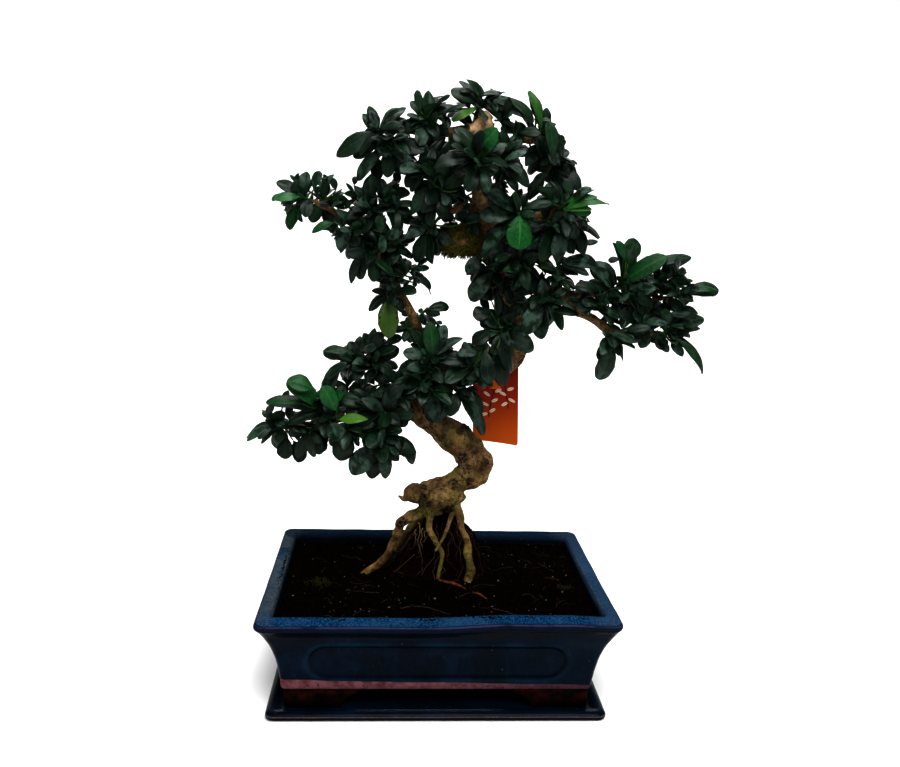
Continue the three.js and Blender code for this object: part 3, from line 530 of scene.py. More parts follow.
def rim_glaze(shade, clouds, coarse, grain):
    """The rim's paler, speckled blue: greyer behind and at the right, dusty at the left."""
    x, y, _ = shade.axes()
    top = shade.ramp(grain, [(0.38, ink(5, 25, 46)), (0.5, ink(13, 52, 80)), (0.62, ink(36, 88, 128))])
    dusty = shade.times(shade.span(x, -0.121, -0.113, 0.8, 0), shade.span(clouds, 0.4, 0.55, 0.35, 1))
    return shade.layered(top, [
        (shade.span(clouds, 0.46, 0.66, 0, 0.5), ink(44, 78, 104)),
        (shade.span(coarse, 0.58, 0.68, 0, 0.75), ink(6, 24, 50)),
        (shade.span(y, 0.0, 0.09, 0, 0.78), ink(20, 30, 44)),
        (shade.span(x, 0.1, 0.12, 0, 0.5), ink(56, 74, 92)),
        (dusty, shade.mix(coarse, ink(14, 20, 24), ink(92, 100, 104))),
    ])


def bare_clay(shade, foot_line):
    """Unglazed clay: a pale speckled band, and dark reddish feet under foot_line, painted darker for the
    shade under the pot and near-black at the bottom.
    """
    x, _, z = shade.axes()
    clay = shade.ramp(shade.noise(160, 5, 0.65), [(0.3, ink(78, 44, 48)), (0.6, ink(120, 80, 86))])
    low = shade.ramp(shade.noise(90, 5, 0.6), [(0.42, ink(6, 3, 3)), (0.68, ink(58, 16, 12))])
    # Painted shade: the feet darken to near-black towards the bottom.
    low = shade.mix(shade.span(z, 0.007, 0.015, 0.85, 0), low, ink(4, 3, 4))
    return shade.layered(clay, [
        (shade.span(shade.noise(520, 2, 0.5), 0.66, 0.7), ink(40, 12, 14)),
        (shade.span(x, -0.02, 0.1, 0, 0.6), ink(54, 34, 44)),
        (shade.span(z, foot_line - 0.0006, foot_line + 0.0006, 1, 0), low),
    ])


def glaze(name, clay_line):
    """Dark blue glaze that breaks lighter on the rim and stops at a wavy line above bare clay."""
    shade = Shade(name)
    x, y, z = shade.axes()
    rim, wear, lip = shade.attribute("zone")
    line = shade.attribute("form")[2]
    clouds = shade.noise(38, 5, 0.6)
    grain = shade.noise(900, 3, 0.7)
    coarse = shade.noise(330, 3, 0.6)
    worn = shade.times(shade.times(wear, shade.span(coarse, 0.45, 0.56)), shade.span(y, 0.02, 0.07, 1, 0.1))
    pale_edge = shade.times(shade.span(lip, 0.8, 1, 0, 0.4), shade.span(clouds, 0.36, 0.56, 0.1, 1))
    body = shade.layered(wall_glaze(shade, clouds, coarse), [
        (rim, rim_glaze(shade, clouds, coarse, grain)),
        (shade.times(lip, shade.span(coarse, 0.3, 0.6, 0.3, 0.8)), ink(24, 26, 50)),
        (pale_edge, ink(72, 74, 110)),
        (shade.times(worn, 0.5), ink(96, 96, 92)),
        (shade.times(line, shade.span(grain, 0.35, 0.6, 0.35, 0.9)), ink(108, 94, 94)),
        (shade.times(shade.span(shade.cells(95), 0.0, 0.05, 1, 0), 0.6), ink(120, 126, 140)),
    ])
    height, foot_line, slope = clay_line
    edge = shade.plus(shade.times(x, slope), height)
    edge = shade.plus(edge, shade.times(shade.noise(30, 3, 0.5), 0.0024))
    bare = shade.span(shade.minus(z, edge), -0.0003, 0.0003, 1, 0)
    colour = shade.mix(bare, body, bare_clay(shade, foot_line))
    rough = shade.span(grain, 0.2, 0.8, 0.14, 0.26)
    for zone, least in (bare, 0.85), (worn, 0.6), (rim, 0.34):
        rough = shade.most(rough, shade.times(zone, least))
    relief = shade.plus(shade.times(clouds, 0.6), shade.times(grain, 0.12))
    shade.feed(shade.surface.inputs["Specular IOR Level"], shade.span(rim, 0.0, 0.4, 0.045, 0.0))
    return shade.finish(colour, rough, shade.bump(relief, 0.5, 0.0008))


def leaf_paint():
    """Leaf green from each leaf's own tint, with a paler midrib, side veins and a matt underside."""
    shade = Shade("leaf_green")
    across, along, under = shade.attribute("leaf")
    fresh, warm, random_value = shade.attribute("tint")
    mottle = shade.noise(420, 4, 0.6)
    dark = shade.ramp(mottle, [(0.3, ink(1, 12, 3)), (0.55, ink(2, 21, 7)), (0.8, ink(7, 36, 16))])
    dark = shade.mix(shade.times(random_value, 0.5), dark, ink(5, 22, 14))
    green = shade.ramp(mottle, [(0.3, ink(12, 62, 26)), (0.7, ink(28, 94, 42))])
    colour = shade.mix(fresh, dark, green)
    colour = shade.mix(warm, colour, ink(112, 146, 30))
    side = shade.math("ABSOLUTE", across)
    slant = shade.minus(shade.times(along, 9.0), shade.times(side, 2.6))
    wave = shade.math("ABSOLUTE", shade.minus(shade.math("FRACT", slant), 0.5))
    vein = shade.span(wave, 0.0, 0.1, 1, 0)
    midrib = shade.span(side, 0.02, 0.07, 1, 0)
    lines = shade.most(midrib, shade.times(vein, 0.3))
    paler = shade.mix(fresh, ink(24, 54, 30), ink(60, 124, 58))
    colour = shade.mix(shade.times(lines, 0.55), colour, paler)
    colour = shade.mix(shade.times(under, 0.5), colour, ink(34, 74, 36))
    # Pale grey-green dust on the darker leaves, which also serves as their painted grey sheen.
    dust_and_sheen = shade.times(shade.span(shade.noise(130, 3, 0.6), 0.42, 0.62), shade.noise(1500, 3, 0.7))
    dust_and_sheen = shade.times(dust_and_sheen, shade.span(fresh, 0.1, 0.6, 1, 0.1))
    dust_and_sheen = shade.times(dust_and_sheen, shade.span(random_value, 0.4, 0.9, 0.12, 0.9))
    colour = shade.mix(dust_and_sheen, colour, ink(80, 106, 92))
    spots = shade.span(shade.cells(900), 0.05, 0.14, 1, 0)
    colour = shade.mix(shade.times(spots, 0.2), colour, ink(120, 140, 124))
    rough = shade.span(mottle, 0.2, 0.8, 0.3, 0.42)
    rough = shade.plus(rough, shade.times(under, 0.25))
    height = shade.minus(shade.times(mottle, 0.35), shade.times(lines, 0.7))
    normal = shade.bump(height, 0.45, 0.0004)
    return shade.finish(colour, rough, normal, Specular_IOR_Level=0.2)


def bark_spots(shade, patches):
    """Dark lenticels in scattered groups, and tiny ones on the paler bark."""
    spots = shade.span(shade.cells(330, shade.stretched(1, 1, 1.6)), 0.12, 0.3, 1, 0)
    spots = shade.times(spots, shade.span(shade.noise(85, 2, 0.5), 0.5, 0.6))
    tiny = shade.span(shade.cells(760), 0.1, 0.24, 0.4, 0)
    return shade.most(spots, shade.times(tiny, shade.span(patches, 0.4, 0.55)))


def bark_paint():
    """Beige-brown bark with dark lenticels and cracks, painted shadows, moss, green roots and red young
    wood.
    """
    shade = Shade("bark_skin")
    green, dark, moss = shade.attribute("bark")
    young, red, cut = shade.attribute("wood")
    long_grain = shade.noise(1.0, 6, 0.65, shade.stretched(240, 240, 90))
    patches = shade.noise(75, 6, 0.62)
    fine = shade.noise(1100, 4, 0.7)
    colour = shade.ramp(patches,
                        [(0.34, ink(70, 51, 30)), (0.48, ink(134, 106, 68)), (0.6, ink(184, 150, 106))])
    colour = shade.mix(shade.span(long_grain, 0.48, 0.64, 0, 0.7), colour, ink(56, 40, 26))
    blotch = shade.times(shade.span(shade.noise(150, 5, 0.65), 0.52, 0.62), 0.6)
    colour = shade.mix(blotch, colour, ink(40, 26, 16))
    colour = shade.mix(shade.times(green, 0.66), colour, ink(196, 186, 96))
    colour = shade.mix(shade.times(young, 0.75), colour, ink(64, 70, 40))
    rusty = shade.times(red, shade.span(shade.noise(260, 3, 0.6), 0.38, 0.6, 0.15, 0.85))
    colour = shade.mix(rusty, colour, ink(132, 56, 24))
    spots = bark_spots(shade, patches)
    colour = shade.mix(shade.times(spots, 0.85), colour, ink(26, 16, 10))
    mossy = shade.times(moss, shade.span(shade.noise(230, 3, 0.6), 0.34, 0.5))
    colour = shade.mix(mossy, colour,
                       shade.mix(shade.noise(600, 4, 0.7), ink(20, 26, 6), ink(104, 104, 34)))
    # The dark numbers: knots, cracks, pits and creases, and the painted shadows.
    colour = shade.mix(dark, colour, ink(13, 8, 6))
    colour = shade.mix(cut, colour, shade.mix(long_grain, ink(196, 156, 112), ink(250, 220, 180)))
    colour = shade.mix(shade.span(fine, 0.35, 0.7, 0, 0.35), colour, ink(160, 142, 106), "MULTIPLY")
    relief = shade.minus(shade.plus(fine, shade.times(long_grain, 1.4)), spots)
    relief = shade.minus(relief, shade.times(blotch, 0.8))
    normal = shade.bump(relief, 1.0, 0.0016)
    rough = shade.span(fine, 0.2, 0.8, 0.62, 0.88)
    return shade.finish(colour, rough, normal, Specular_IOR_Level=0.18)


def soil_paint():
    """Near-black compost, with reddish bark crumbs and pale grit."""
    shade = Shade("soil_crumb")
    tone, red, pale = shade.attribute("crumb")
    fine = shade.noise(700, 5, 0.7)
    colour = shade.ramp(fine, [(0.3, ink(2, 1, 1)), (0.6, ink(10, 7, 4)), (0.85, ink(26, 18, 12))])
    colour = shade.mix(shade.times(tone, 0.4), colour, ink(34, 21, 13))
    colour = shade.mix(red, colour, ink(50, 20, 11))
    colour = shade.mix(pale, colour, shade.mix(fine, ink(66, 58, 44), ink(166, 156, 130)))
    normal = shade.bump(fine, 0.9, 0.0012)
    return shade.finish(colour, shade.span(fine, 0.3, 0.7, 0.75, 0.95), normal, Specular_IOR_Level=0.0)


def fibre_paint():
    """Dry rootlets from pale to dark, reddish root pieces and green moss."""
    shade = Shade("root_fibre")
    tone, red, green = shade.attribute("crumb")
    fine = shade.noise(500, 4, 0.6)
    colour = shade.mix(fine, ink(74, 58, 40), ink(128, 108, 80))
    colour = shade.mix(tone, colour, ink(22, 14, 9))
    colour = shade.mix(red, colour,
                       shade.mix(shade.span(fine, 0.35, 0.62), ink(34, 12, 4), ink(116, 58, 20)))
    colour = shade.mix(green, colour, shade.mix(fine, ink(24, 30, 5), ink(104, 102, 28)))
    return shade.finish(colour, 0.8, shade.bump(fine, 0.5, 0.0004), Specular_IOR_Level=0.05)


# The label's print: twigs as [place, lean, curve, lowest height], leaves as [across, up, degrees].
TWIG_PRINTS = [[0.3, 0.05, 0.3, 0.3], [0.86, -0.1, -0.16, 0.44]]
LEAF_PRINT_HALF = (3.2, 1.25)
LEAF_PRINTS = [
    [0.25, 0.34, 200], [0.43, 0.4, 35], [0.27, 0.47, 160], [0.48, 0.53, 30], [0.31, 0.6, 150],
    [0.56, 0.66, 30],
    [0.7, 0.5, 215], [0.86, 0.56, -20], [0.66, 0.63, 160], [0.83, 0.7, 25], [0.64, 0.77, 150],
    [0.4, 0.72, 150],
]


def twig_print(shade, u, v, base, lean, curve, end):
    """Where one printed twig runs."""
    bow = shade.plus(shade.times(v, lean), base)
    bow = shade.plus(bow, shade.times(shade.times(v, v), curve))
    gap = shade.math("ABSOLUTE", shade.minus(u, bow))
    return shade.times(shade.span(gap, 0.008, 0.016, 1, 0), shade.span(v, end, end + 0.02))


def leaf_print(shade, u, v, cx, cy, degrees):
    """Where one printed leaf lies, apart from its midrib."""
    turn = math.radians(degrees)
    dx = shade.times(shade.minus(u, cx), LABEL[0])
    dy = shade.times(shade.minus(v, cy), LABEL[1])
    ways = shade.turned(dx, dy, turn), shade.turned(dx, dy, turn + math.pi / 2)
    parts = [shade.math("POWER", shade.math("ABSOLUTE", shade.math("DIVIDE", way, half)), 2.0)
             for way, half in zip(ways, LEAF_PRINT_HALF)]
    rib = shade.span(shade.math("ABSOLUTE", ways[1]), 0.1, 0.2, 0, 1)
    return shade.times(shade.span(shade.plus(*parts), 0.85, 1.0, 1, 0), rib)


def label_paint():
    """Orange plastic with a plain generic print: thin dark twigs that carry pale oval leaves."""
    shade = Shade("label_orange")
    u, v, _ = shade.attribute("label")
    low = shade.mix(shade.noise(60, 4, 0.6), ink(172, 78, 12), ink(184, 90, 20))
    colour = shade.mix(shade.span(v, 0.0, 0.7), low, ink(138, 34, 2))
    for row in TWIG_PRINTS:
        colour = shade.mix(twig_print(shade, u, v, *row), colour, ink(58, 18, 8))
    for row in LEAF_PRINTS:
        colour = shade.mix(leaf_print(shade, u, v, *row), colour, ink(222, 204, 178))
    normal = shade.bump(shade.noise(300, 3, 0.5), 0.15, 0.0003)
    return shade.finish(colour, 0.5, normal, Specular_IOR_Level=0.12)


# Pot and saucer


# Points along a long and a short side of the outline, and steps round each corner.
OUTLINE_COUNTS = (150, 96)
CORNER_STEPS = 8


def rounded_outline(width, depth, corner):
    """Points round a rectangle with round corners, evenly spaced, from the middle of the right side."""
    x, y = width / 2 - corner, depth / 2 - corner
    points = []
    for (cx, cy), quarter in zip(((x, y), (-x, y), (-x, -y), (x, -y)), range(4)):
        for step in range(CORNER_STEPS + 1):
            angle = (quarter + step / CORNER_STEPS) * math.pi / 2
            points.append((cx + corner * math.cos(angle), cy + corner * math.sin(angle)))
        ends = points[-1], ((-x, y + corner), (-x - corner, -y), (x, -y - corner), (x + corner, y))[quarter]
        count = OUTLINE_COUNTS[quarter % 2]
        for step in range(1, count):
            t = step / count
            points.append(tuple(a + (b - a) * t for a, b in zip(*ends)))
    return np.array(points)


def smooth_rows(rows, steps):
    """Profile rows of [inset, height] joined by smooth curves that pass through each row."""
    rows = np.array(rows, float)
    points = [rows[0]]
    for i in range(len(rows) - 1):
        p1, p2 = rows[i], rows[i + 1]
        p0 = rows[i - 1] if i > 0 else 2 * p1 - p2
        p3 = rows[i + 2] if i + 2 < len(rows) else 2 * p2 - p1
        for step in range(1, steps + 1):
            t = step / steps
            points.append(0.5 * (2 * p1 + (p2 - p0) * t + (2 * p0 - 5 * p1 + 4 * p2 - p3) * t**2
                                 + (3 * p1 - p0 - 3 * p2 + p3) * t**3))
    return np.array(points)


def dish(size, corner, rows):
    """Rings of points round a pot or tray, one for each profile row."""
    rings = []
    for inset, height in rows:
        outline = rounded_outline(size[0] - 2 * inset, size[1] - 2 * inset, max(corner - inset * 0.2, 2))
        rings.append(np.column_stack([outline, np.full(len(outline), height)]))
    return rings


def soft_step(value, low, high):
    t = np.clip((value - low) / (high - low), 0, 1)
    return t * t * (3 - 2 * t)


def panel_edge(ring):
    """How far each point lies outside the panel's outline, and which points are on a long side."""
    width, low, high, _ = PANEL
    radius = (high - low) / 2
    x = np.maximum(np.abs(ring[:, 0]) - (width / 2 - radius), 0)
    z = ring[:, 2] - (low + high) / 2
    return np.hypot(x, z) - radius, np.abs(ring[:, 1]) > POT_SIZE[1] / 2 - 22


def panel_push(ring):
    """How far the panel on a long side is sunk at each point, with a soft bead along its edge."""
    depth = PANEL[3]
    edge, front = panel_edge(ring)
    sunk = depth * soft_step(-edge, -0.6, 1.4) - 0.5 * np.exp(-((edge + 5) / 1.8) ** 2)
    bead = 0.95 * np.exp(-((edge - 2.4) / 1.9) ** 2)
    return np.where(front, sunk - bead, 0)


def panel_tone(ring, within):
    """The pot's [painted highlight on the bead, painted shade in the groove and on the inner wall, worn
    line] at each point of a ring.
    """
    edge, front = panel_edge(ring)
    outside = front & (not within)
    # Painted highlight along the bead, and painted shade in the groove and, weaker, on the inner wall.
    bead = np.where(outside, np.exp(-((edge - 2.6) / 1.8) ** 2), 0)
    groove_shade = np.where(outside, np.exp(-((edge + 0.6) / 1.2) ** 2), 0.4 * within)
    return np.column_stack([bead, groove_shade, 0 * edge])


def wobble(points, scale, size, seed=0):
    """Smooth uneven numbers for points in millimetres."""
    shift = Vector((seed * 7.3, seed * 3.1, seed * 1.7))
    return np.array([noise.noise(Vector(point * scale) + shift) for point in points]) * size


def lean_rim(rings, rows):
    """Makes the hand-made rim wider in front and narrower behind and at the sides."""
    for ring, (inset, height) in zip(rings, rows):
        reach = soft_step(inset, 2, 10) * soft_step(height, 60, 74)
        front = soft_step(-ring[:, 1], 60, 86)
        ring[:, 1] += reach * (RIM_LEAN[0] * front + RIM_LEAN[1] * soft_step(ring[:, 1], 60, 86))
        ring[:, 0] += reach * RIM_LEAN[2] * np.sign(ring[:, 0]) * soft_step(np.abs(ring[:, 0]), 90, 118)
        if height > 73:
            ring[:, 2] += reach * RIM_LEAN[3] * front
        along = soft_step(ring[:, 0], -10, 50) * (1 - 0.5 * soft_step(ring[:, 0], 90, 125))
        ring[:, 2] += RIM_LIFT * along * soft_step(height, 64, 73) * soft_step(-ring[:, 1], 20, 80)


LIP_ROWS = [[2.4, 69.5], [0.9, 71.2], [0.25, 72.6], [0.1, 74], [0.5, 75.2], [1.5, 75.9], [3, 76.1]]
RIM_ROWS = [[3, 76.1], [6, 76.25], [8.8, 76.1], [10.2, 75.6], [11.2, 74.7], [11.8, 73.2]]
INSIDE_ROWS = [[11.8, 73.2], [12.3, 70], [12.6, 68], [17, 58], [20.5, 46], [23, 34], [25, 27]]


def rim_zone(inset, height):
    """A row's [rim, wear, lip] for the glaze."""
    rim = float(height > 73 and inset < 12.2) * (1.0 if inset > 1.6 else 0.15)
    wear = math.exp(-((inset - 10.9) / 0.9) ** 2) if height > 73 else 0
    outer = math.exp(-((inset - 0.9) / 0.8) ** 2) if height > 74.5 else 0
    bead = math.exp(-((inset - 0.3) / 0.5) ** 2) if 72.6 < height <= 75.5 else 0
    return rim, wear, min(1, outer + bead * 0.7)


def roughen(verts, first, last):
    """Makes the pot's outer skin, between two places in the list of points, slightly uneven."""
    bumps = wobble(verts, 0.035, 0.35, 1) + wobble(verts, 0.16, 0.12, 2)
    away = verts.copy()
    away[:, 2] = 0
    away /= np.maximum(np.linalg.norm(away, axis=1, keepdims=True), 1)
    places = np.arange(len(verts))
    shown = (places > first) & (places < last)
    verts[shown] += away[shown] * bumps[shown, None]
    lift = wobble(verts, 0.05, 0.25, 3)
    high = shown & (verts[:, 2] > 70)
    verts[high, 2] += lift[high]


def pot_mesh():
    outside, lip = smooth_rows(POT_OUTSIDE[2:8], 6), smooth_rows(LIP_ROWS, 3)
    top, inside = smooth_rows(RIM_ROWS, 3), smooth_rows(INSIDE_ROWS, 1)
    rows = [*POT_OUTSIDE[:2], *outside, *lip[1:], *top[1:], *inside[1:]]
    rings = dish(POT_SIZE, POT_CORNER, rows)
    zones, forms = [], []
    for number, (ring, row) in enumerate(zip(rings, rows)):
        forms.append(panel_tone(ring, number > len(rows) - len(inside)))
        ring[:, 1] -= np.sign(ring[:, 1]) * panel_push(ring)
        zones.append(np.tile(rim_zone(*row), (len(ring), 1)))
    lean_rim(rings, rows)
    verts, sides = np.concatenate(rings), len(rings[0])
    roughen(verts, 3 * sides, len(verts) - len(inside) * sides)
    return verts, ring_faces(len(rings), sides), {"zone": np.concatenate(zones),
                                                  "form": np.concatenate(forms)}


DRAIN_SIDES = 40
DRAIN_REACH = (12, 32)


def cut_drains(piece):
    """Cuts the two round drain holes through the pot's floor."""
    offset, radius = DRAINS
    cutter = Heap()
    angles = np.linspace(0, 2 * math.pi, DRAIN_SIDES, endpoint=False)
    for side in (-1, 1):
        ring = np.column_stack([side * offset + radius * np.cos(angles), radius * np.sin(angles)])
        verts = np.concatenate([np.column_stack([ring, np.full(DRAIN_SIDES, z)]) for z in DRAIN_REACH])
        cutter.add(verts, ring_faces(2, DRAIN_SIDES))
    mesh = bpy.data.meshes.new("drain_cutter")
    mesh.from_pydata((np.concatenate(cutter.verts) * MM).tolist(), [], cutter.faces)
    tool = bpy.data.objects.new("drain_cutter", mesh)
    bpy.context.collection.objects.link(tool)
    cut = piece.modifiers.new("drains", "BOOLEAN")
    cut.operation, cut.object, cut.solver = "DIFFERENCE", tool, "EXACT"
    bake(piece)
    bpy.data.objects.remove(tool)


def bake(piece):
    """Applies a piece's modifiers to its mesh."""
    graph = bpy.context.evaluated_depsgraph_get()
    mesh = bpy.data.meshes.new_from_object(piece.evaluated_get(graph))
    piece.modifiers.clear()
    piece.data = mesh
    return mesh


def foot_outline(length, height):
    """A foot's side view, with a hollow curve at its inner end."""
    a, b, c = (length, 0), (length + 1, height * 0.62), (length + 14, height * 0.8)
    curve = []
    for step in range(13):
        t = step / 12
        curve.append([(1 - t) ** 2 * p + 2 * t * (1 - t) * q + t * t * r for p, q, r in zip(a, b, c)])
    return [[1.5, 0], *curve, [length + 16, height + 1.0], [0, height + 1.0], [0.7, height * 0.5]]


def foot_board(length, thickness):
    """A foot's board along +X from its outer end, in rings that round its edges."""
    height = POT_OUTSIDE[0][1] - SAUCER_FLOOR - FOOT_GAP
    outline = foot_outline(length, height)
    middle = np.array([length / 2, height / 2])
    inner = thickness - 0.9, thickness - 0.3, thickness
    rings = []
    for y, pull in zip((0, 0.3, 0.9, *inner), (0.9, 0.3, 0, 0, 0.3, 0.9)):
        for point in outline:
            away = np.array(point, float) - middle
            x, z = middle + away * (1 - pull / max(np.abs(away).max(), 1))
            rings.append([x, y, z + (SAUCER_FLOOR + FOOT_GAP)])
    return np.array(rings), ring_faces(6, len(outline))


def search_tree(points):
    """A tree that finds the nearest of many points."""
    tree = kdtree.KDTree(len(points))
    for i, point in enumerate(points):
        tree.insert(point, i)
    tree.balance()
    return tree


def add_feet(paint):
    """Four corner feet, each of two boards that meet at the corner."""
    feet = Heap("zone")
    length, depth, thickness, inset = FOOT
    corner = np.array([POT_SIZE[0] / 2 - inset, POT_SIZE[1] / 2 - inset])
    boards = [(foot_board(length, thickness), False), (foot_board(depth, thickness), True)]
    for sx, sy, ((points, faces), turned) in itertools.product((-1, 1), (-1, 1), boards):
        points = points[:, [1, 0, 2]] if turned else points.copy()
        points[:, 0] = sx * (corner[0] - points[:, 0])
        points[:, 1] = sy * (corner[1] - points[:, 1])
        flip = (sx * sy > 0) ^ turned
        feet.add(points, [face[::-1] if flip else face for face in faces])
    feet.piece("pot_feet", paint, "glaze_pot", ["pot"])


def make_pot():
    verts, faces, data = pot_mesh()
    paint = glaze("pot_glaze", POT_CLAY_LINE)
    pot = make_piece("pot_glazed", verts, faces, paint, ["pot"], data=data)
    cut_drains(pot)
    tree = search_tree(verts * MM)
    nearest = [tree.find(vertex.co)[1] for vertex in pot.data.vertices]
    carry(pot.data, {key: rows[nearest] for key, rows in data.items()})
    add_feet(paint)


SAUCER_ROWS = [
    [1.2, 0], [0.2, 0.4], [-0.5, 1.3], [-0.7, 2.6], [-0.4, 3.9], [0.5, 4.9], [1.5, 5.5], [2.6, 5.9],
    [4, 5.7],
    [6.4, 4.7], [8.6, 3.9], [10.4, 3.6], [14, 3.6],
]


def make_saucer():
    rows = smooth_rows(SAUCER_ROWS, 3)
    rings = dish(SAUCER_SIZE, SAUCER_CORNER, rows)
    zones, forms = [], []
    for ring, (inset, height) in zip(rings, rows):
        line = math.exp(-((height - 3.4) / 0.4) ** 2) if inset < 2 else 0
        rim = 0.1 * math.exp(-((inset - 4) / 2) ** 2) if height > 3.7 else 0
        zones.append(np.tile((rim, 0, 0), (len(ring), 1)))
        # Painted shade, strongest on the low outer wall under the saucer's edge and half as strong on the
        # rest; and the worn line.
        forms.append(np.tile((0, 0.95 if height < 3 and inset < 2 else 0.5, line), (len(ring), 1)))
    verts = np.concatenate(rings)
    raised = verts[:, 2] > 2
    verts[raised, 2] += wobble(verts[raised], 0.05, 0.12, 5)
    data = {"zone": np.concatenate(zones), "form": np.concatenate(forms)}
    paint = glaze("saucer_glaze", SAUCER_CLAY_LINE)
    faces = ring_faces(len(rings), len(rings[0]))
    make_piece("saucer_glazed", verts, faces, paint, ["saucer"], data=data)


# Soil


def solid_grid(xs, ys, top, depth):
    """A closed slab whose upper face is the grid of heights top."""
    nx, ny = len(xs), len(ys)
    grid = np.array([[x, y, top(x, y)] for x in xs for y in ys])
    base = grid.copy()
    base[:, 2] = depth
    verts = np.concatenate([grid, base])
    total = nx * ny
    faces = []
    for i in range(nx - 1):
        for j in range(ny - 1):
            a = i * ny + j
            faces.append((a, a + ny, a + ny + 1, a + 1))
    rim = [i * ny for i in range(nx)] + [(nx - 1) * ny + j for j in range(1, ny)]
    rim += [i * ny + ny - 1 for i in range(nx - 2, -1, -1)] + list(range(ny - 2, 0, -1))
    for a, b in zip(rim, rim[1:] + rim[:1]):
        faces.append((b, a, a + total, b + total))
    faces.append(tuple(i + total for i in reversed(rim)))
    used = sorted({i for face in faces for i in face})
    place = {old: new for new, old in enumerate(used)}
    return verts[used], [tuple(place[i] for i in face) for face in faces]


def bed_height(x, y):
    """Height of the soil's surface: lumpy, a little lower along the walls."""
    place = Vector((x, y, 0))
    height = SOIL_TOP - 0.4 + 1.5 * noise.noise(place * 0.045) + 0.9 * noise.noise(place * 0.16)
    height += 0.55 * noise.noise(place * 0.5)
    edge = min(BED_EDGE[0] - abs(x), BED_EDGE[1] - abs(y))
    return height - 1.6 * max(0.0, 1 - edge / 9)


def heap_shape(angle, level):
    """A point on the root ball at an angle and a level from 0 to 1, and its outward way."""
    rows = np.array(HEAP, float)
    place = level * (len(rows) - 1)
    k = min(int(place), len(rows) - 2)
    x, y, z, wide, deep = rows[k] + (rows[k + 1] - rows[k]) * (place - k)
    way = np.array([math.cos(angle), math.sin(angle), 0])
    return np.array([x + way[0] * wide, y + way[1] * deep, z]), way


def crumb_template(detail):
    made = bmesh.new()
    bmesh.ops.create_icosphere(made, subdivisions=detail, radius=1)
    verts = np.array([v.co for v in made.verts])
    faces = [tuple(v.index for v in face.verts) for face in made.faces]
    made.free()
    return verts, faces


def chip(template, rng, size, flat=0.7):
    """One small uneven lump turned at random."""
    verts, faces = template
    jitter = np.array([[rng.uniform(0.7, 1.25) for _ in range(3)] for _ in verts])
    turn = Matrix.Rotation(rng.uniform(0, 6.3), 3, "X") @ Matrix.Rotation(rng.uniform(0, 6.3), 3, "Z")
    stretch = np.array([rng.uniform(0.7, 1.3), rng.uniform(0.7, 1.2), flat])
    return (verts * jitter * stretch * size) @ np.array(turn), faces


def in_bed(rng, margin=4):
    x, y = (reach - margin for reach in BED_REACH)
    return rng.uniform(-x, x), rng.uniform(-y, y)


# Loose crumbs on the pot's rim as [x, y, height, spread along x, spread along y] and their number.
CRUMBS_ON_RIM = [((-121.6, 8, 75.9, 0.8, 14), 110), ((-7, -85, 77.3, 3, 0.8), 34),
                 ((38, -85.2, 79.5, 6, 0.8), 44),
                 ((-70, -85, 77.3, 3, 0.6), 14), ((62, -85.4, 80, 3, 0.5), 10)]


def root_ball():
    """The root ball's points, lumpy and drawn out along its height."""
    points = []
    for i in range(BALL_RINGS):
        for k in range(BALL_SIDES):
            point, way = heap_shape(2 * math.pi * k / BALL_SIDES, i / (BALL_RINGS - 1))
            rough = 2.6 * noise.noise(Vector(point * 0.09)) + 1.3 * noise.noise(Vector(point * 0.3))
            rough += 0.8 * noise.noise(Vector((*(point[:2] * 0.7), point[2] * 0.14)))
            points.append(point + way * (rough - 1.2))
    return points


def scatter_crumbs(soil, rng, small, big):
    """Crumbs on the bed, on the root ball and on the pot's rim, and pale grit."""
    for _ in range(LOOSE_CRUMBS):
        x, y = in_bed(rng, 1)
        size = rng.choice((0.5, 0.7, 0.9, 1.3, 1.9)) * rng.uniform(0.8, 1.2)
        verts, faces = chip(small, rng, size)
        tone = (rng.random() ** 2, 0.5 * (rng.random() < 0.025), 0)
        soil.add(verts + (x, y, bed_height(x, y) + size * 0.25), faces, crumb=tone)
    for _ in range(BALL_CRUMBS):
        point, way = heap_shape(rng.uniform(0, 6.3), rng.random() ** 1.2)
        verts, faces = chip(small, rng, rng.uniform(0.5, 1.7))
        tone = (rng.random() ** 2, 0.3 * (rng.random() < 0.1), 0)
        soil.add(verts + point + way * -1.0, faces, crumb=tone)
    for (x, y, z, spread_x, spread_y), count in CRUMBS_ON_RIM:
        for _ in range(count):
            place = (rng.gauss(x, spread_x), rng.gauss(y, spread_y), z)
            verts, faces = chip(small, rng, rng.uniform(0.3, 0.8))
            soil.add(verts + place, faces, crumb=(rng.random(), 0, 0.25 * (rng.random() < 0.2)))
    for _ in range(PALE_GRIT):
        x, y = in_bed(rng)
        template = big if rng.random() < 0.2 else small
        verts, faces = chip(template, rng, rng.uniform(0.3, 0.9), 0.6)
        soil.add(verts + (x, y, bed_height(x, y) + 0.55), faces, crumb=(0, 0, rng.uniform(0.45, 1)))


def make_soil():
    soil = Heap("crumb")
    xs, ys = np.linspace(-BED[0], BED[0], 130), np.linspace(-BED[1], BED[1], 92)
    soil.add(*solid_grid(xs, ys, bed_height, 58), crumb=(0.1, 0, 0))
    soil.add(root_ball(), ring_faces(BALL_RINGS, BALL_SIDES), crumb=(0.25, 0.06, 0))
    scatter_crumbs(soil, random.Random(41), crumb_template(1), crumb_template(2))
    soil.piece("soil_surface", soil_paint(), "soil", ["soil"])


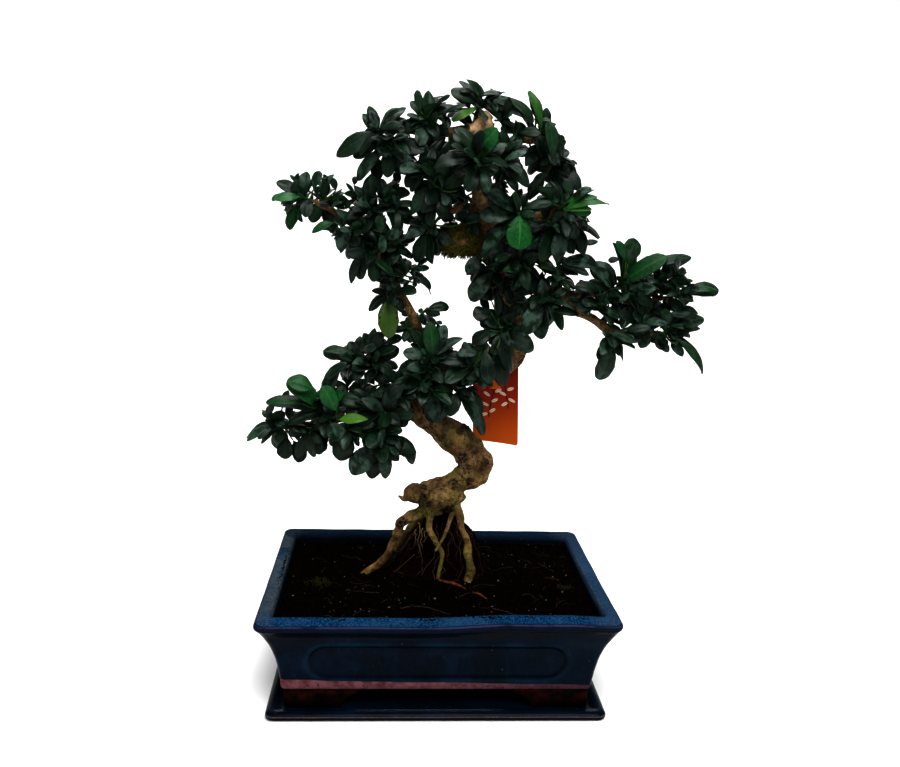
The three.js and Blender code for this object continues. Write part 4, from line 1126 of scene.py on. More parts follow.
def strand(rng, start, heading, length, radius, bend=0.5):
    """A thin root or fibre lying on the soil."""
    x, y = start
    rows = []
    steps = max(int(length / 1.6), 4)
    for step in range(steps + 1):
        t = step / steps
        lift = bed_height(x, y) + radius * 0.6 + 0.8 * math.sin(math.pi * t) * rng.uniform(0.5, 1)
        rows.append([x, y, lift, radius * (1 - 0.6 * t)])
        heading += rng.uniform(-bend, bend)
        x += math.cos(heading) * length / steps
        y += math.sin(heading) * length / steps
        x, y = max(-116, min(116, x)), max(-81, min(81, y))
    return tube(spline(rows, steps * 2), 5)


ROOTLETS = 70
HAIR_ROOTS = 90
LONG_FIBRES = [((-39, -63), -0.5, 34), ((-28, -49), 0.15, 46), ((-70, -20), 0.6, 22), ((40, -52), -0.4, 30)]
ROOT_PIECES = [
    [[2, -1, 71, 0.7], [4, -5, 71.4, 1.1], [9, -8, 71.4, 1.0], [13, -11, 71.8, 1.2], [18, -14, 71.2, 0.9],
     [23, -18, 70.2, 0.5]],
    [[28, -25, 70.4, 0.6], [32, -29, 71.2, 0.95], [35, -33, 70.8, 0.8], [38, -36, 70.2, 0.4]],
]
HANGING_ROOTS = [(-14, -1, 118, 26), (-12, -2, 114, 17), (-17, 0, 112, 12), (-9, -2, 112, 10)]
MOSS_PATCHES = [(-91, -6, 9, 120), (102, -12, 6, 60), (-62, 66, 3, 30), (-20, 70, 5, 40)]


def add_fibres(litter, rng):
    """Short rootlets all over the soil and a few long fibres in front."""
    for _ in range(ROOTLETS):
        start = in_bed(rng, 8)
        tone = (rng.uniform(0.35, 0.9), 0.4 * (rng.random() < 0.35), 0)
        heading, length, radius = rng.uniform(0, 6.3), rng.uniform(7, 26), rng.uniform(0.1, 0.19)
        litter.add(*strand(rng, start, heading, length, radius), crumb=tone)
    for start, heading, length in LONG_FIBRES:
        litter.add(*strand(rng, start, heading, length, 0.21, 0.22), crumb=(0.3, 0.1, 0))


def add_root_pieces(litter, rng):
    """Reddish root pieces on the soil and pale fine roots that hang under the root crown."""
    for rows in ROOT_PIECES:
        verts, faces = tube(spline(rows, 40), 12, 0.6)
        worn = np.array([noise.noise(Vector(point * 0.5)) for point in verts])
        worn = np.clip(0.42 + 2.2 * worn, 0, 1)
        litter.add(verts, faces, crumb=np.column_stack([0.8 * worn, 0.95 - 0.6 * worn, 0 * worn]))
    for x, y, top, tall in HANGING_ROOTS:
        rows = [[x + rng.uniform(-1, 1), y + rng.uniform(-1, 1), top - tall * step / 6,
                 0.5 * (1 - step / 8)]
                for step in range(7)]
        litter.add(*tube(spline(rows, 18), 6, 0.2), crumb=(-0.4, 0, 0))


def add_hair_roots(litter, rng):
    """Fine roots that run down the root ball."""
    for _ in range(HAIR_ROOTS):
        angle = rng.uniform(0, 6.3)
        level = rng.uniform(0.35, 1)
        rows = []
        for step in range(7):
            point, way = heap_shape(angle, level)
            rows.append([*(point + way * (0.2 + 0.5 * math.sin(step))), 0.26 * (1 - step / 12)])
            angle += rng.uniform(-0.12, 0.12)
            level = max(0.02, level - rng.uniform(0.03, 0.1))
        tone = 0.1 if rng.random() < 0.4 else 0.85
        litter.add(*tube(spline(rows, 14), 5), crumb=(tone, 0.25 * (rng.random() < 0.4), 0))


def add_moss(litter, rng):
    """Short curled blades of moss in patches on the soil."""
    for cx, cy, spread, count in MOSS_PATCHES:
        for _ in range(count):
            x, y = cx + rng.gauss(0, spread * 0.5), cy + rng.gauss(0, spread * 0.5)
            x, y = max(-115, min(115, x)), max(-80, min(80, y))
            ground = bed_height(x, y)
            lean = rng.uniform(0, 6.3)
            tall = rng.uniform(1.0, 2.4)
            dx, dy = math.cos(lean), math.sin(lean)
            rows = [[x, y, ground - 0.3, 0.32], [x + dx * 0.4, y + dy * 0.4, ground + tall * 0.6, 0.28],
                    [x + dx, y + dy, ground + tall, 0.06]]
            litter.add(*tube(np.array(rows), 5), crumb=(1, 0, 0.3))


def make_litter():
    """Rootlets, fibres and moss on the soil, and hair roots on the root ball."""
    rng = random.Random(77)
    litter = Heap("crumb")
    for add in (add_fibres, add_root_pieces, add_hair_roots, add_moss):
        add(litter, rng)
    litter.piece("soil_litter", fibre_paint(), "soil")


# Wood


# Knots on the side that the photograph shows: [x, y, radius] in pixels, push outwards, darkness, redness.
KNOTS = [
    [411.2, 413.6, 3.2, -1.8, 1, 0], [460, 431, 3.6, 0.9, 0.9, 0.6], [469.4, 446.5, 3.2, 0.7, 0.6, 0.5],
    [484.7, 462.6, 4.2, 0.9, 0.9, 0.4], [481, 471.8, 3.2, -0.8, 0.5, 0.9],
    [470.2, 481.7, 4.2, -1.2, 1, 0.5],
    [453.3, 484, 5.6, 1.5, 0.9, 0.1], [462.5, 458, 5.2, 0.7, 0.85, 0], [467, 468.7, 5.2, 0.6, 0.75, 0],
    [428.8, 504, 2.6, -1.1, 1, 0.6], [451, 500, 2.6, -0.6, 0.5, 1], [450.3, 508, 4.2, 1.1, 0.9, 0.2],
    # The hollow at [423.5, 497.8] is dark as painted shade.
    [423.5, 497.8, 4.4, -1.2, 1, 0], [433, 480, 3.2, 1.4, 0.5, 0], [424, 488.6, 4, 0.8, 0.8, 0],
    [400.5, 522.3, 6.2, 1.5, 0.8, 0.1], [415, 511.6, 3, 0.6, 0.8, 0], [465.6, 425.8, 4, 1.3, 0.9, 0],
    [455, 449, 5, 0.2, 0.2, 1], [447, 470, 3, 0.5, 0.7, 0], [440, 505, 3, -0.8, 0.7, 0.3],
    [438, 478, 3.4, 0.8, 0.6, 0],
    [476, 452, 2.6, -0.7, 0.8, 0], [458, 464, 3, -0.8, 0.9, 0], [432, 425, 3.2, 0.7, 0.6, 0.2],
    [444, 437, 3, -0.7, 0.7, 0], [421, 421, 3, 0.6, 0.7, 0], [446, 427, 4, 0.8, 0.5, 0],
    [478, 441, 3, 0.6, 0.6, 0.2],
    [405, 545, 3.2, 0.7, 0.4, 1], [470, 560, 3, 0.5, 0.4, 1], [466, 541, 3, 0.6, 0.6, 0.6],
    [389, 556, 3, 0.5, 0.5, 0.8],
    [413, 330, 3, 0.6, 0.6, 0.4], [502, 290, 4, 1, 0.7, 0.2], [510, 280, 4, -0.8, 0.9, 0.5],
    [505, 320, 4, 0.9, 0.6, 0],
]
# Dark cracks, and painted shade in the crease between a lobe and the burl, as lines of pixels.
CRACKS = [
    [(457.9, 472.6), (462, 476.5), (466.3, 481), (467, 487)],
    [(415, 508), (424, 497), (431, 491), (438, 486)],
    [(438, 512), (446, 509), (452, 511)], [(441, 449), (448, 456), (452, 464)],
    [(425, 428), (436, 437), (445, 447)],
]
# A swelling of the trunk, and the places and radii of the cut stub on the upper burl, in pixels.
TRUNK_BULGE = (410, 408)
CUT_STUB = [((472, 134), 5.4), ((482, 124), 5.2), ((489, 114), 4.6)]
# Wide painted shadows on the bark, as [x, y, radius] in pixels and darkness.
PAINTED_SHADOWS = [
    [436, 414, 13, 0.75], [421, 404, 9, 0.6], [448, 444, 10, 0.7], [461, 460, 13, 0.8], [455, 486, 9, 0.7],
    [424, 492, 10, 0.85], [470, 452, 9, 0.5], [416, 503, 7, 0.6], [483, 468, 8, 0.5], [432, 424, 9, 0.6],
]
# Paler bark and old cut wood as [x, y, radius] in pixels and strength.
PALE = [[487, 119, 9, 1], [476, 128, 8, 1], [466, 134, 6, 0.6], [481, 200, 8, 0.4], [545, 214, 12, 0.35],
        [442, 496, 8, 0.1], [478, 440, 7, 0.08],
        [600, 322, 12, 0.2], [474, 560, 6, 0.15]]
# Cut ends, burls and mossy places as [x, y, z, radius].
CUTS = [[27, 5, 424, 7.5], [89, 0, 363, 4.5], [-64, -3, 410, 3]]
BURLS = [[-2, 8, 139, 25], [9, 7, 338, 20], [-31, 5, 108, 8]]
MOSS_SPOTS = [[9, 7, 338, 26], [-8, 8, 128, 18], [20, 10, 190, 9], [30, 14, 300, 12], [27, -1, 84, 12]]
VOXEL = 0.95
ROOT_SLIMS = (0.74, 0.74, 0.82, 1, 0.9, 0.9)
PITS = 130
MOSS_TRIES = 3600
THORNS = 9


def seeded(seed):
    """The CAD's numbers from 0 to 1."""
    state = seed
    while True:
        state = (state * 1664525 + 1013904223) % 4294967296
        yield state / 4294967296


def limb_points(rows):
    points = []
    for a, b in zip(rows, rows[1:]):
        for step in range(STEPS_PER_SPAN):
            t = step / STEPS_PER_SPAN
            points.append((vec(a) + (vec(b) - vec(a)) * t, a[3] + (b[3] - a[3]) * t))
    points.append((vec(rows[-1]), 0))
    return points


def shoot_line(limb, hub):
    """The CAD's bent line from a limb to a shoot's hub."""
    places = limb_points(TRUNK if limb == "trunk" else LIMBS[limb])
    end = np.array(hub, float)
    nearest = int(np.argmin([np.linalg.norm(point - end) for point, _ in places]))
    last = len(places) - 1
    at = last if nearest == last else max(nearest - STEPS_BACK, 0)
    start, radius = places[at]
    reach = np.linalg.norm(start - end)
    along = unit(places[min(at + 1, last)][0] - places[max(at - 1, 0)][0])
    middle = start + (end - start) * 0.35 + along * reach * 0.3
    split = max(1 - TWIG_LENGTH / reach, (radius + SPUR_LENGTH) / reach)
    line = {"start": start, "middle": middle, "end": end}
    line["foot"] = on_line(line, split)
    line["split"] = split
    line["length"] = np.linalg.norm(line["foot"] - end)
    return line


def on_line(line, t):
    return line["start"] * (1 - t) ** 2 + line["middle"] * 2 * t * (1 - t) + line["end"] * t * t


def ball(centre, sizes, detail=3):
    verts, faces = crumb_template(detail)
    return verts * np.array(sizes) + np.array(centre), faces


def slim_root(rows, thin):
    """A root's rows, thinner past the burl, with a slight kink at each row."""
    rng = random.Random(len(rows) + int(rows[2][0]))
    out = []
    for number, (x, y, z, radius) in enumerate(rows):
        slim = thin if number else 1
        kink = 0.9 if 0 < number < len(rows) - 1 else 0
        out.append([x + rng.uniform(-kink, kink), y + rng.uniform(-kink, kink), z,
                    radius * slim * rng.uniform(0.93, 1.07)])
    return out


# Small knobs all over the two burls, as a burl's middle, its half sizes and their number.
KNOBS = [[(1, 8, 139), (20, 13, 10.5), 30], [(9, 7, 338), (15.5, 12, 10), 46]]


def wood_parts():
    """The rows, steps, sides and unevenness of the trunk, each root, each limb and the spur."""
    roots = [(slim_root(rows, thin), 110, 20, 0.42) for rows, thin in zip(ROOTS, ROOT_SLIMS)]
    limbs = [(rows, 70, 16, 0.24) for rows in LIMBS.values()]
    return [(TRUNK, 300, 36, 0.16), *roots, *limbs, (SPUR, 20, 12, 0.2)]


def add_swellings(rough):
    """The burls with their knobs, the swellings of trunk and root, and the cut stub."""
    rng = random.Random(5)
    for x, y, z, wide, deep, tall in SWELLINGS:
        rough.add(*ball((x, y, z), (wide, deep, tall)))
    for burl, sizes, count in KNOBS:
        for _ in range(count):
            way = unit(np.array([rng.gauss(0, 1), rng.gauss(0, 1), rng.gauss(0, 0.9)]))
            size = rng.uniform(2.2, 4.6)
            middle = np.array(burl) + way * (np.array(sizes) - 1.2)
            rough.add(*ball(middle, (size, size * 0.9, size * 0.8), 2))
    rough.add(*ball((-31, 5, 107), (4.6, 4.4, 4.6), 2))
    rough.add(*ball(from_pixel(TRUNK_BULGE, 6), (4.4, 5, 9)))
    stub = [[*from_pixel(place, 4), radius] for place, radius in CUT_STUB]
    rough.add(*tube(spline(stub, 14), 18, 0.25, 0.1, 9))


def wood_rough():
    """The trunk, roots, limbs and swellings as overlapping closed forms, and the routes they follow."""
    rough = Heap()
    routes = []
    for number, (rows, steps, sides, uneven) in enumerate(wood_parts()):
        route = spline(rows, steps)
        if number > len(ROOTS):
            route[:, 3] *= 1 + 0.35 * np.exp(-np.linalg.norm(route[:, :3] - route[0, :3], axis=1) / 5)
        routes.append(route)
        rough.add(*tube(route, sides, uneven, 0.5 if number else 0.15, number))
    add_swellings(rough)
    return rough, routes


def near(points, spots):
    """How close each point is to the nearest spot: 1 at its middle and 0 outside it."""
    found = np.zeros(len(points))
    for *centre, radius in spots:
        found = np.maximum(found, 1 - np.linalg.norm(points - np.array(centre), axis=1) / radius)
    return found


def route_radii(points, routes):
    """The radius of the route nearest to each point."""
    rows = np.concatenate(routes)
    tree = search_tree(rows[:, :3])
    return rows[[tree.find(point)[1] for point in points], 3]


def pixels(points):
    """Where many points in millimetres show in the photograph."""
    seen = (points * MM - np.array(CAMERA_PLACE)) @ np.array(CAMERA_TURN)
    focal = LENS / SENSOR * IMAGE[0]
    return np.column_stack([IMAGE[0] / 2 - focal * seen[:, 0] / seen[:, 2],
                            IMAGE[1] / 2 + focal * seen[:, 1] / seen[:, 2]])


def away_from_line(spots, line):
    """Each spot's distance from a line through points."""
    nearest = np.full(len(spots), 1e9)
    for a, b in zip(np.array(line, float), np.array(line[1:], float)):
        t = np.clip(((spots - a) @ (b - a)) / ((b - a) @ (b - a)), 0, 1)
        nearest = np.minimum(nearest, np.linalg.norm(spots - a - t[:, None] * (b - a), axis=1))
    return nearest


def bark_fields(points):
    """Noise at six scales for each point: wide, middle, knob, crease, fine and damp."""
    fields = np.zeros((len(points), 6))
    for i, point in enumerate(points):
        place = Vector(point)
        drawn = Vector((place.x * 0.3, place.y * 0.3, place.z * 0.75))
        fields[i] = (noise.noise(place * 0.07), noise.noise(place * 0.19), noise.noise(place * 0.26),
                     noise.noise(drawn), noise.noise(place * 0.9),
                     noise.noise(place * 0.05 + Vector((9, 0, 0))))
    return fields.T


class Bark:
    """How far the bark stands out at each point of the wood, and what its material reads there."""

    def __init__(self, points, normals, radii):
        self.points, self.normals, self.radii = points, normals, radii
        self.shown = pixels(points)
        self.facing = ((points * MM - np.array(CAMERA_PLACE)) * normals).sum(axis=1) < 0
        wide, self.middle, self.knob, crease, self.fine, self.damp = bark_fields(points)
        self.crease = np.clip(0.15 - np.abs(crease), 0, 1) / 0.15
        self.burl = near(points, BURLS)
        self.dark = self.crease * (0.45 + 0.45 * self.burl)
        size = np.clip(radii / 9, 0.2, 1)
        self.push = size * (wide * 1.1 + self.middle * 0.8 + self.fine * 0.35 - 0.6 * self.crease)
        swell = np.clip(self.burl, 0, 1)
        self.push += np.abs(self.knob) * 3.2 * swell - 0.7 * swell
        self.red, self.cut = np.zeros(len(points)), np.zeros(len(points))

    def gap(self, x, y, radius):
        """How far each point shows from a pixel, in parts of a radius."""
        return np.hypot(self.shown[:, 0] - x, self.shown[:, 1] - y) / radius

    def spot(self, x, y, radius):
        return np.exp(-self.gap(x, y, radius) ** 2 * 1.2) * self.facing

    def add_knots(self):
        patchy = np.clip(0.75 + 1.8 * self.fine, 0, 1)
        for x, y, radius, out, shade, rust in KNOTS:
            gap = self.gap(x, y, radius)
            near_it = self.facing & (gap < 2)
            form, pit = np.exp(-gap**2 * 1.6), np.exp(-gap**2 * 8)
            ring = np.exp(-((gap - 0.75) / 0.36) ** 2)
            raised = out * form - 0.9 * pit if out > 0 else out * form + 0.35 * ring
            self.push += np.where(near_it, raised, 0)
            stain = np.minimum(1, 1.35 * shade * np.maximum(pit, ring * patchy))
            self.dark = np.maximum(self.dark, np.where(near_it, stain, 0))
            self.red = np.maximum(self.red, np.where(near_it, rust * form, 0))

    def add_painted_shadows(self):
        patchy = np.clip(0.8 + 3.2 * self.knob + 2.4 * self.fine, 0, 1)
        # Painted shadows on the trunk, patchy.
        for x, y, radius, shade in PAINTED_SHADOWS:
            self.dark = np.maximum(self.dark, shade * self.spot(x, y, radius) * patchy)

    def add_cracks(self):
        uneven = self.shown + np.column_stack([self.middle, self.crease]) * 2.2
        strength = np.clip(0.9 + 1.5 * self.fine, 0, 1)
        # The second line is painted shade in the crease between a lobe and the burl; the others are cracks.
        for line in CRACKS:
            form = np.where(self.facing, np.exp(-(away_from_line(uneven, line) / 1.1) ** 2) * strength, 0)
            self.push -= 1.1 * form
            self.dark = np.maximum(self.dark, form)

    def add_pits(self):
        rng = random.Random(31)
        woody = np.flatnonzero(self.radii > 2.6)
        for _ in range(PITS):
            centre = self.points[rng.choice(woody)]
            radius = rng.uniform(1.1, 2.8)
            gap = np.linalg.norm(self.points - centre, axis=1) / radius
            form, ring = np.exp(-gap**2 * 2.2), np.exp(-((gap - 1.3) / 0.45) ** 2)
            self.push += radius * (0.16 * ring - 0.3 * form)
            self.dark = np.maximum(self.dark, rng.uniform(0.4, 0.95) * form)

    def add_cuts(self):
        for *centre, radius in CUTS:
            close = np.linalg.norm(self.points - np.array(centre), axis=1) < radius
            upward = centre[2] == CUTS[0][2]
            level = self.normals[:, 2] > 0.7 if upward else np.abs(self.normals[:, 0]) > 0.7
            self.cut = np.maximum(self.cut, (close & level).astype(float))
        self.push += self.cut * (self.fine * 0.8)
        for x, y, radius, strength in PALE:
            pale = 1.4 * strength * self.spot(x, y, radius) * (0.9 + self.knob)
            self.cut = np.maximum(self.cut, np.clip(pale, 0, 1))

    def tones(self):
        """The rows of [green, dark, moss] and of [young, red, cut]."""
        height = self.points[:, 2]
        low = soft_step(np.where(self.points[:, 0] < -22, 88, 118) - height, 0, 26)
        green = np.clip(0.75 * low + (0.15 + 0.5 * self.damp) * (height < 240), 0, 1)
        lower = soft_step(86 - height, 0, 12)
        red = self.red + lower * (0.4 + 1.9 * self.middle) + 0.2 * (self.radii < 3.5)
        red = np.clip(red + 0.25 * np.clip(self.burl * self.damp, 0, 1), 0, 1)
        moss = np.clip(near(self.points, MOSS_SPOTS) * 1.7 * (0.65 + 0.35 * self.normals[:, 2]), 0, 1)
        bark = np.column_stack([green, np.clip(self.dark, 0, 1), moss])
        return bark, np.column_stack([0.45 * (self.radii < 2.4), red, self.cut])


def make_wood():
    rough, routes = wood_rough()
    paint = bark_paint()
    wood = rough.piece("trunk_and_limbs", paint, "bark", ["wood"])
    remesh = wood.modifiers.new("skin", "REMESH")
    remesh.mode, remesh.voxel_size = "VOXEL", VOXEL * MM
    relax = wood.modifiers.new("relax", "SMOOTH")
    relax.factor, relax.iterations = 0.5, 2
    mesh = bake(wood)
    count = len(mesh.vertices)
    points, normals = np.empty(count * 3), np.empty(count * 3)
    mesh.vertices.foreach_get("co", points)
    mesh.vertices.foreach_get("normal", normals)
    points, normals = points.reshape(-1, 3) / MM, normals.reshape(-1, 3)
    skin = Bark(points, normals, route_radii(points, routes))
    for add in (skin.add_knots, skin.add_painted_shadows, skin.add_cracks, skin.add_pits, skin.add_cuts):
        add()
    bark, wood_data = skin.tones()
    points += normals * skin.push[:, None]
    mesh.vertices.foreach_set("co", (points * MM).ravel())
    carry(mesh, {"bark": bark, "wood": wood_data})
    mesh.polygons.foreach_set("use_smooth", [True] * len(mesh.polygons))
    mesh.update()
    return settle(wood, paint, ["wood"]), paint, points


def make_shoot_wood(lines, paint):
    """The woody feet of the side shoots, with thin rings where old leaves stood."""
    shoots = Heap("bark", "wood")
    for index, line in enumerate(lines):
        steps = 26
        rows = []
        for step in range(steps + 1):
            t = step / steps
            radius = SHOOT_RADIUS + (TWIG_RADIUS - SHOOT_RADIUS) * t
            rows.append([*on_line(line, t * line["split"]),
                         radius * (1 + 0.14 * (step % 5 == 0) + 0.4 * math.exp(-t * 9))])
        verts, faces = tube(np.array(rows), 10, 0.2, 0.3, index)
        fade = np.append(np.repeat(np.linspace(0, 1, steps + 1), 10), (0, 1))
        young = np.column_stack([0.3 + 0.7 * fade, 0.5 - 0.4 * fade, 0 * fade])
        shoots.add(verts, faces, bark=(0, 0.05, 0), wood=young)
    shoots.piece("side_shoots", paint, "bark", ["wood"])


def make_burl_moss():
    """Clumps of short curled moss on the upper burl, and the thorns under it."""
    rng = random.Random(61)
    moss = Heap("crumb")
    middle, sizes = np.array(SWELLINGS[2][:3]), np.array(SWELLINGS[2][3:])
    for _ in range(MOSS_TRIES):
        way = unit(np.array([rng.gauss(0, 1), rng.gauss(0, 1), rng.gauss(0, 1)]))
        start = middle + way * (sizes + 0.4)
        clump = noise.noise(Vector(start * 0.24))
        if clump < 0.02 - 0.4 * max(0, -way[1]):
            continue
        long = rng.uniform(0.8, 1.8) + 7 * max(0, min(clump, 0.6))
        end = start + unit(way + np.array([rng.uniform(-1, 1) for _ in range(3)]) * 0.9) * long
        bend = (start + end) / 2 + np.array([rng.uniform(-1, 1) for _ in range(3)])
        rows = np.array([[*start, 0.34], [*bend, 0.3], [*end, 0.08]])
        green = 1 if rng.random() < 0.85 else 0.5
        moss.add(*tube(rows, 4), crumb=(rng.uniform(0, 1), 0, green))
    for _ in range(THORNS):
        angle = rng.uniform(0, 6.3)
        start = middle + np.array([math.cos(angle) * 9, math.sin(angle) * 6, -9.5])
        end = start + np.array([rng.uniform(-2, 2), rng.uniform(-2, 2), -rng.uniform(3.5, 7)])
        moss.add(*tube(np.array([[*start, 0.7], [*((start + end) / 2), 0.5], [*end, 0.1]]), 6),
                 crumb=(0.9, 0.2, 0))
    moss.piece("burl_moss", fibre_paint(), "bark")


# Leaves


# A leaf's half width along its length, in parts of the largest: a blunt one and a pointed one.
OUTLINE_AT = [0, 0.05, 0.1, 0.18, 0.28, 0.4, 0.52, 0.64, 0.76, 0.86, 0.93, 0.975, 1]
BLUNT = [0.08, 0.09, 0.17, 0.42, 0.66, 0.85, 0.96, 1.0, 0.95, 0.79, 0.58, 0.34, 0]
POINTED = [0.08, 0.1, 0.24, 0.55, 0.8, 0.96, 1.0, 0.93, 0.75, 0.5, 0.28, 0.12, 0]
FINE_STATIONS = np.array([0.05, 0.1, 0.17, 0.27, 0.38, 0.5, 0.61, 0.71, 0.8, 0.87, 0.925, 0.96, 0.985])
PLAIN_STATIONS = np.array([0.06, 0.13, 0.27, 0.43, 0.59, 0.73, 0.84, 0.92, 0.97])
FINE_ACROSS = [-1, -0.84, -0.55, -0.13, 0, 0.13, 0.55, 0.84, 1]
PLAIN_ACROSS = [-1, -0.62, -0.14, 0, 0.14, 0.62, 1]
UNDERSIDE = [0.5, 0, -0.5]
THICKNESS = 0.34
STALK_THICKNESS = 0.9
FULLER = 1.14
EXTRA_LEAVES = 8
SPRIGS = 3
SPRIG_LEAVES = 6
SPUR_SPACING = 13.0
SPUR_LEAVES = 6
FILL_TRIES = 26
# The part of the photograph that the crown fills, in pixels.
CROWN_COLUMNS = (246, 716)
CROWN_ROWS = (80, 480)
# The crown's outline in the photograph and the gaps in it, in pixels.
CROWN = [
    (243, 441), (262, 420), (262, 404), (283, 398), (284, 378), (303, 372), (318, 378), (322, 350),
    (345, 343),
    (366, 350), (364, 336), (376, 326), (378, 312), (365, 309), (372, 290), (356, 279), (347, 288),
    (346, 256),
    (333, 246), (333, 233), (311, 235), (311, 222), (286, 232), (284, 218), (271, 204), (274, 182),
    (302, 170),
    (334, 173), (338, 190), (354, 176), (354, 160), (334, 155), (336, 142), (358, 132), (362, 112),
    (385, 108),
    (413, 104), (414, 90), (430, 84), (448, 92), (452, 84), (468, 76), (482, 86), (507, 91), (524, 98),
    (528, 88), (537, 96), (546, 114), (560, 126), (566, 146), (576, 160), (583, 184), (600, 188),
    (613, 204),
    (592, 212), (590, 228), (602, 238), (588, 250), (590, 262), (612, 260), (611, 242), (622, 233),
    (636, 237),
    (648, 254), (694, 254), (692, 276), (720, 288), (700, 297), (706, 320), (697, 342), (708, 374),
    (700, 376),
    (676, 350), (664, 353), (634, 349), (624, 362), (612, 358), (611, 378), (600, 383), (594, 368),
    (603, 334),
    (586, 318), (568, 316), (563, 334), (548, 340), (534, 358), (516, 366), (494, 386), (474, 382),
    (490, 410),
    (486, 438), (472, 424), (462, 400), (448, 426), (426, 426), (404, 412), (392, 424), (408, 436),
    (418, 452),
    (412, 468), (396, 462), (386, 481), (350, 479), (334, 458), (316, 462), (302, 465), (282, 462),
    (268, 446),
]
GAPS = [
    [(428, 263), (441, 256), (459, 258), (465, 275), (472, 285), (475, 298), (471, 312), (470, 336),
     (455, 347),
     (450, 330), (443, 320), (425, 312), (410, 300), (408, 291), (425, 282)],
    [(362, 286), (376, 300), (382, 290), (378, 280)],
    [(566, 272), (590, 272), (590, 280), (570, 280)],
    [(395, 345), (384, 342), (400, 372), (412, 352)],
]
# Bark, cut ends and the burl that show through the leaves.
BARE = [
    [(533, 205), (571, 202), (573, 214), (540, 223)], [(471, 112), (493, 111), (493, 128), (468, 133)],
    [(473, 194), (490, 196), (488, 210), (476, 206)], [(403, 294), (412, 294), (424, 335), (413, 335)],
    [(588, 312), (632, 324), (630, 334), (600, 331)], [(438, 224), (470, 224), (475, 250), (445, 257)],
    [(449, 128), (467, 128), (467, 138), (450, 137)],
]
# Leaves that aren't dark green, as [x, y] in pixels, fresh, warm and how much wider.
TINTED = [
    [283, 199, 0.9, 0, 1.2], [518, 233, 0.85, 0, 1.65], [585, 199, 1, 0.05, 1], [575, 203, 1, 0.05, 1],
    [486, 138, 0.8, 0, 1.2], [300, 385, 0.8, 0, 1.3], [334, 398, 0.85, 0, 1.2], [345, 416, 0.95, 0.4, 0.9],
    [316, 228, 0.6, 0, 1], [505, 271, 0.7, 0, 1], [525, 290, 0.5, 0, 1], [462, 120, 0.75, 0.3, 1],
    [430, 330, 0.4, 0, 1], [388, 320, 0.12, 0.2, 1], [648, 264, 0.45, 0, 1.2], [628, 250, 0.4, 0, 1.2],
    [310, 200, 0.4, 0, 1], [290, 215, 0.5, 0, 1], [690, 288, 0.35, 0, 1], [548, 262, 0.3, 0.1, 1],
]
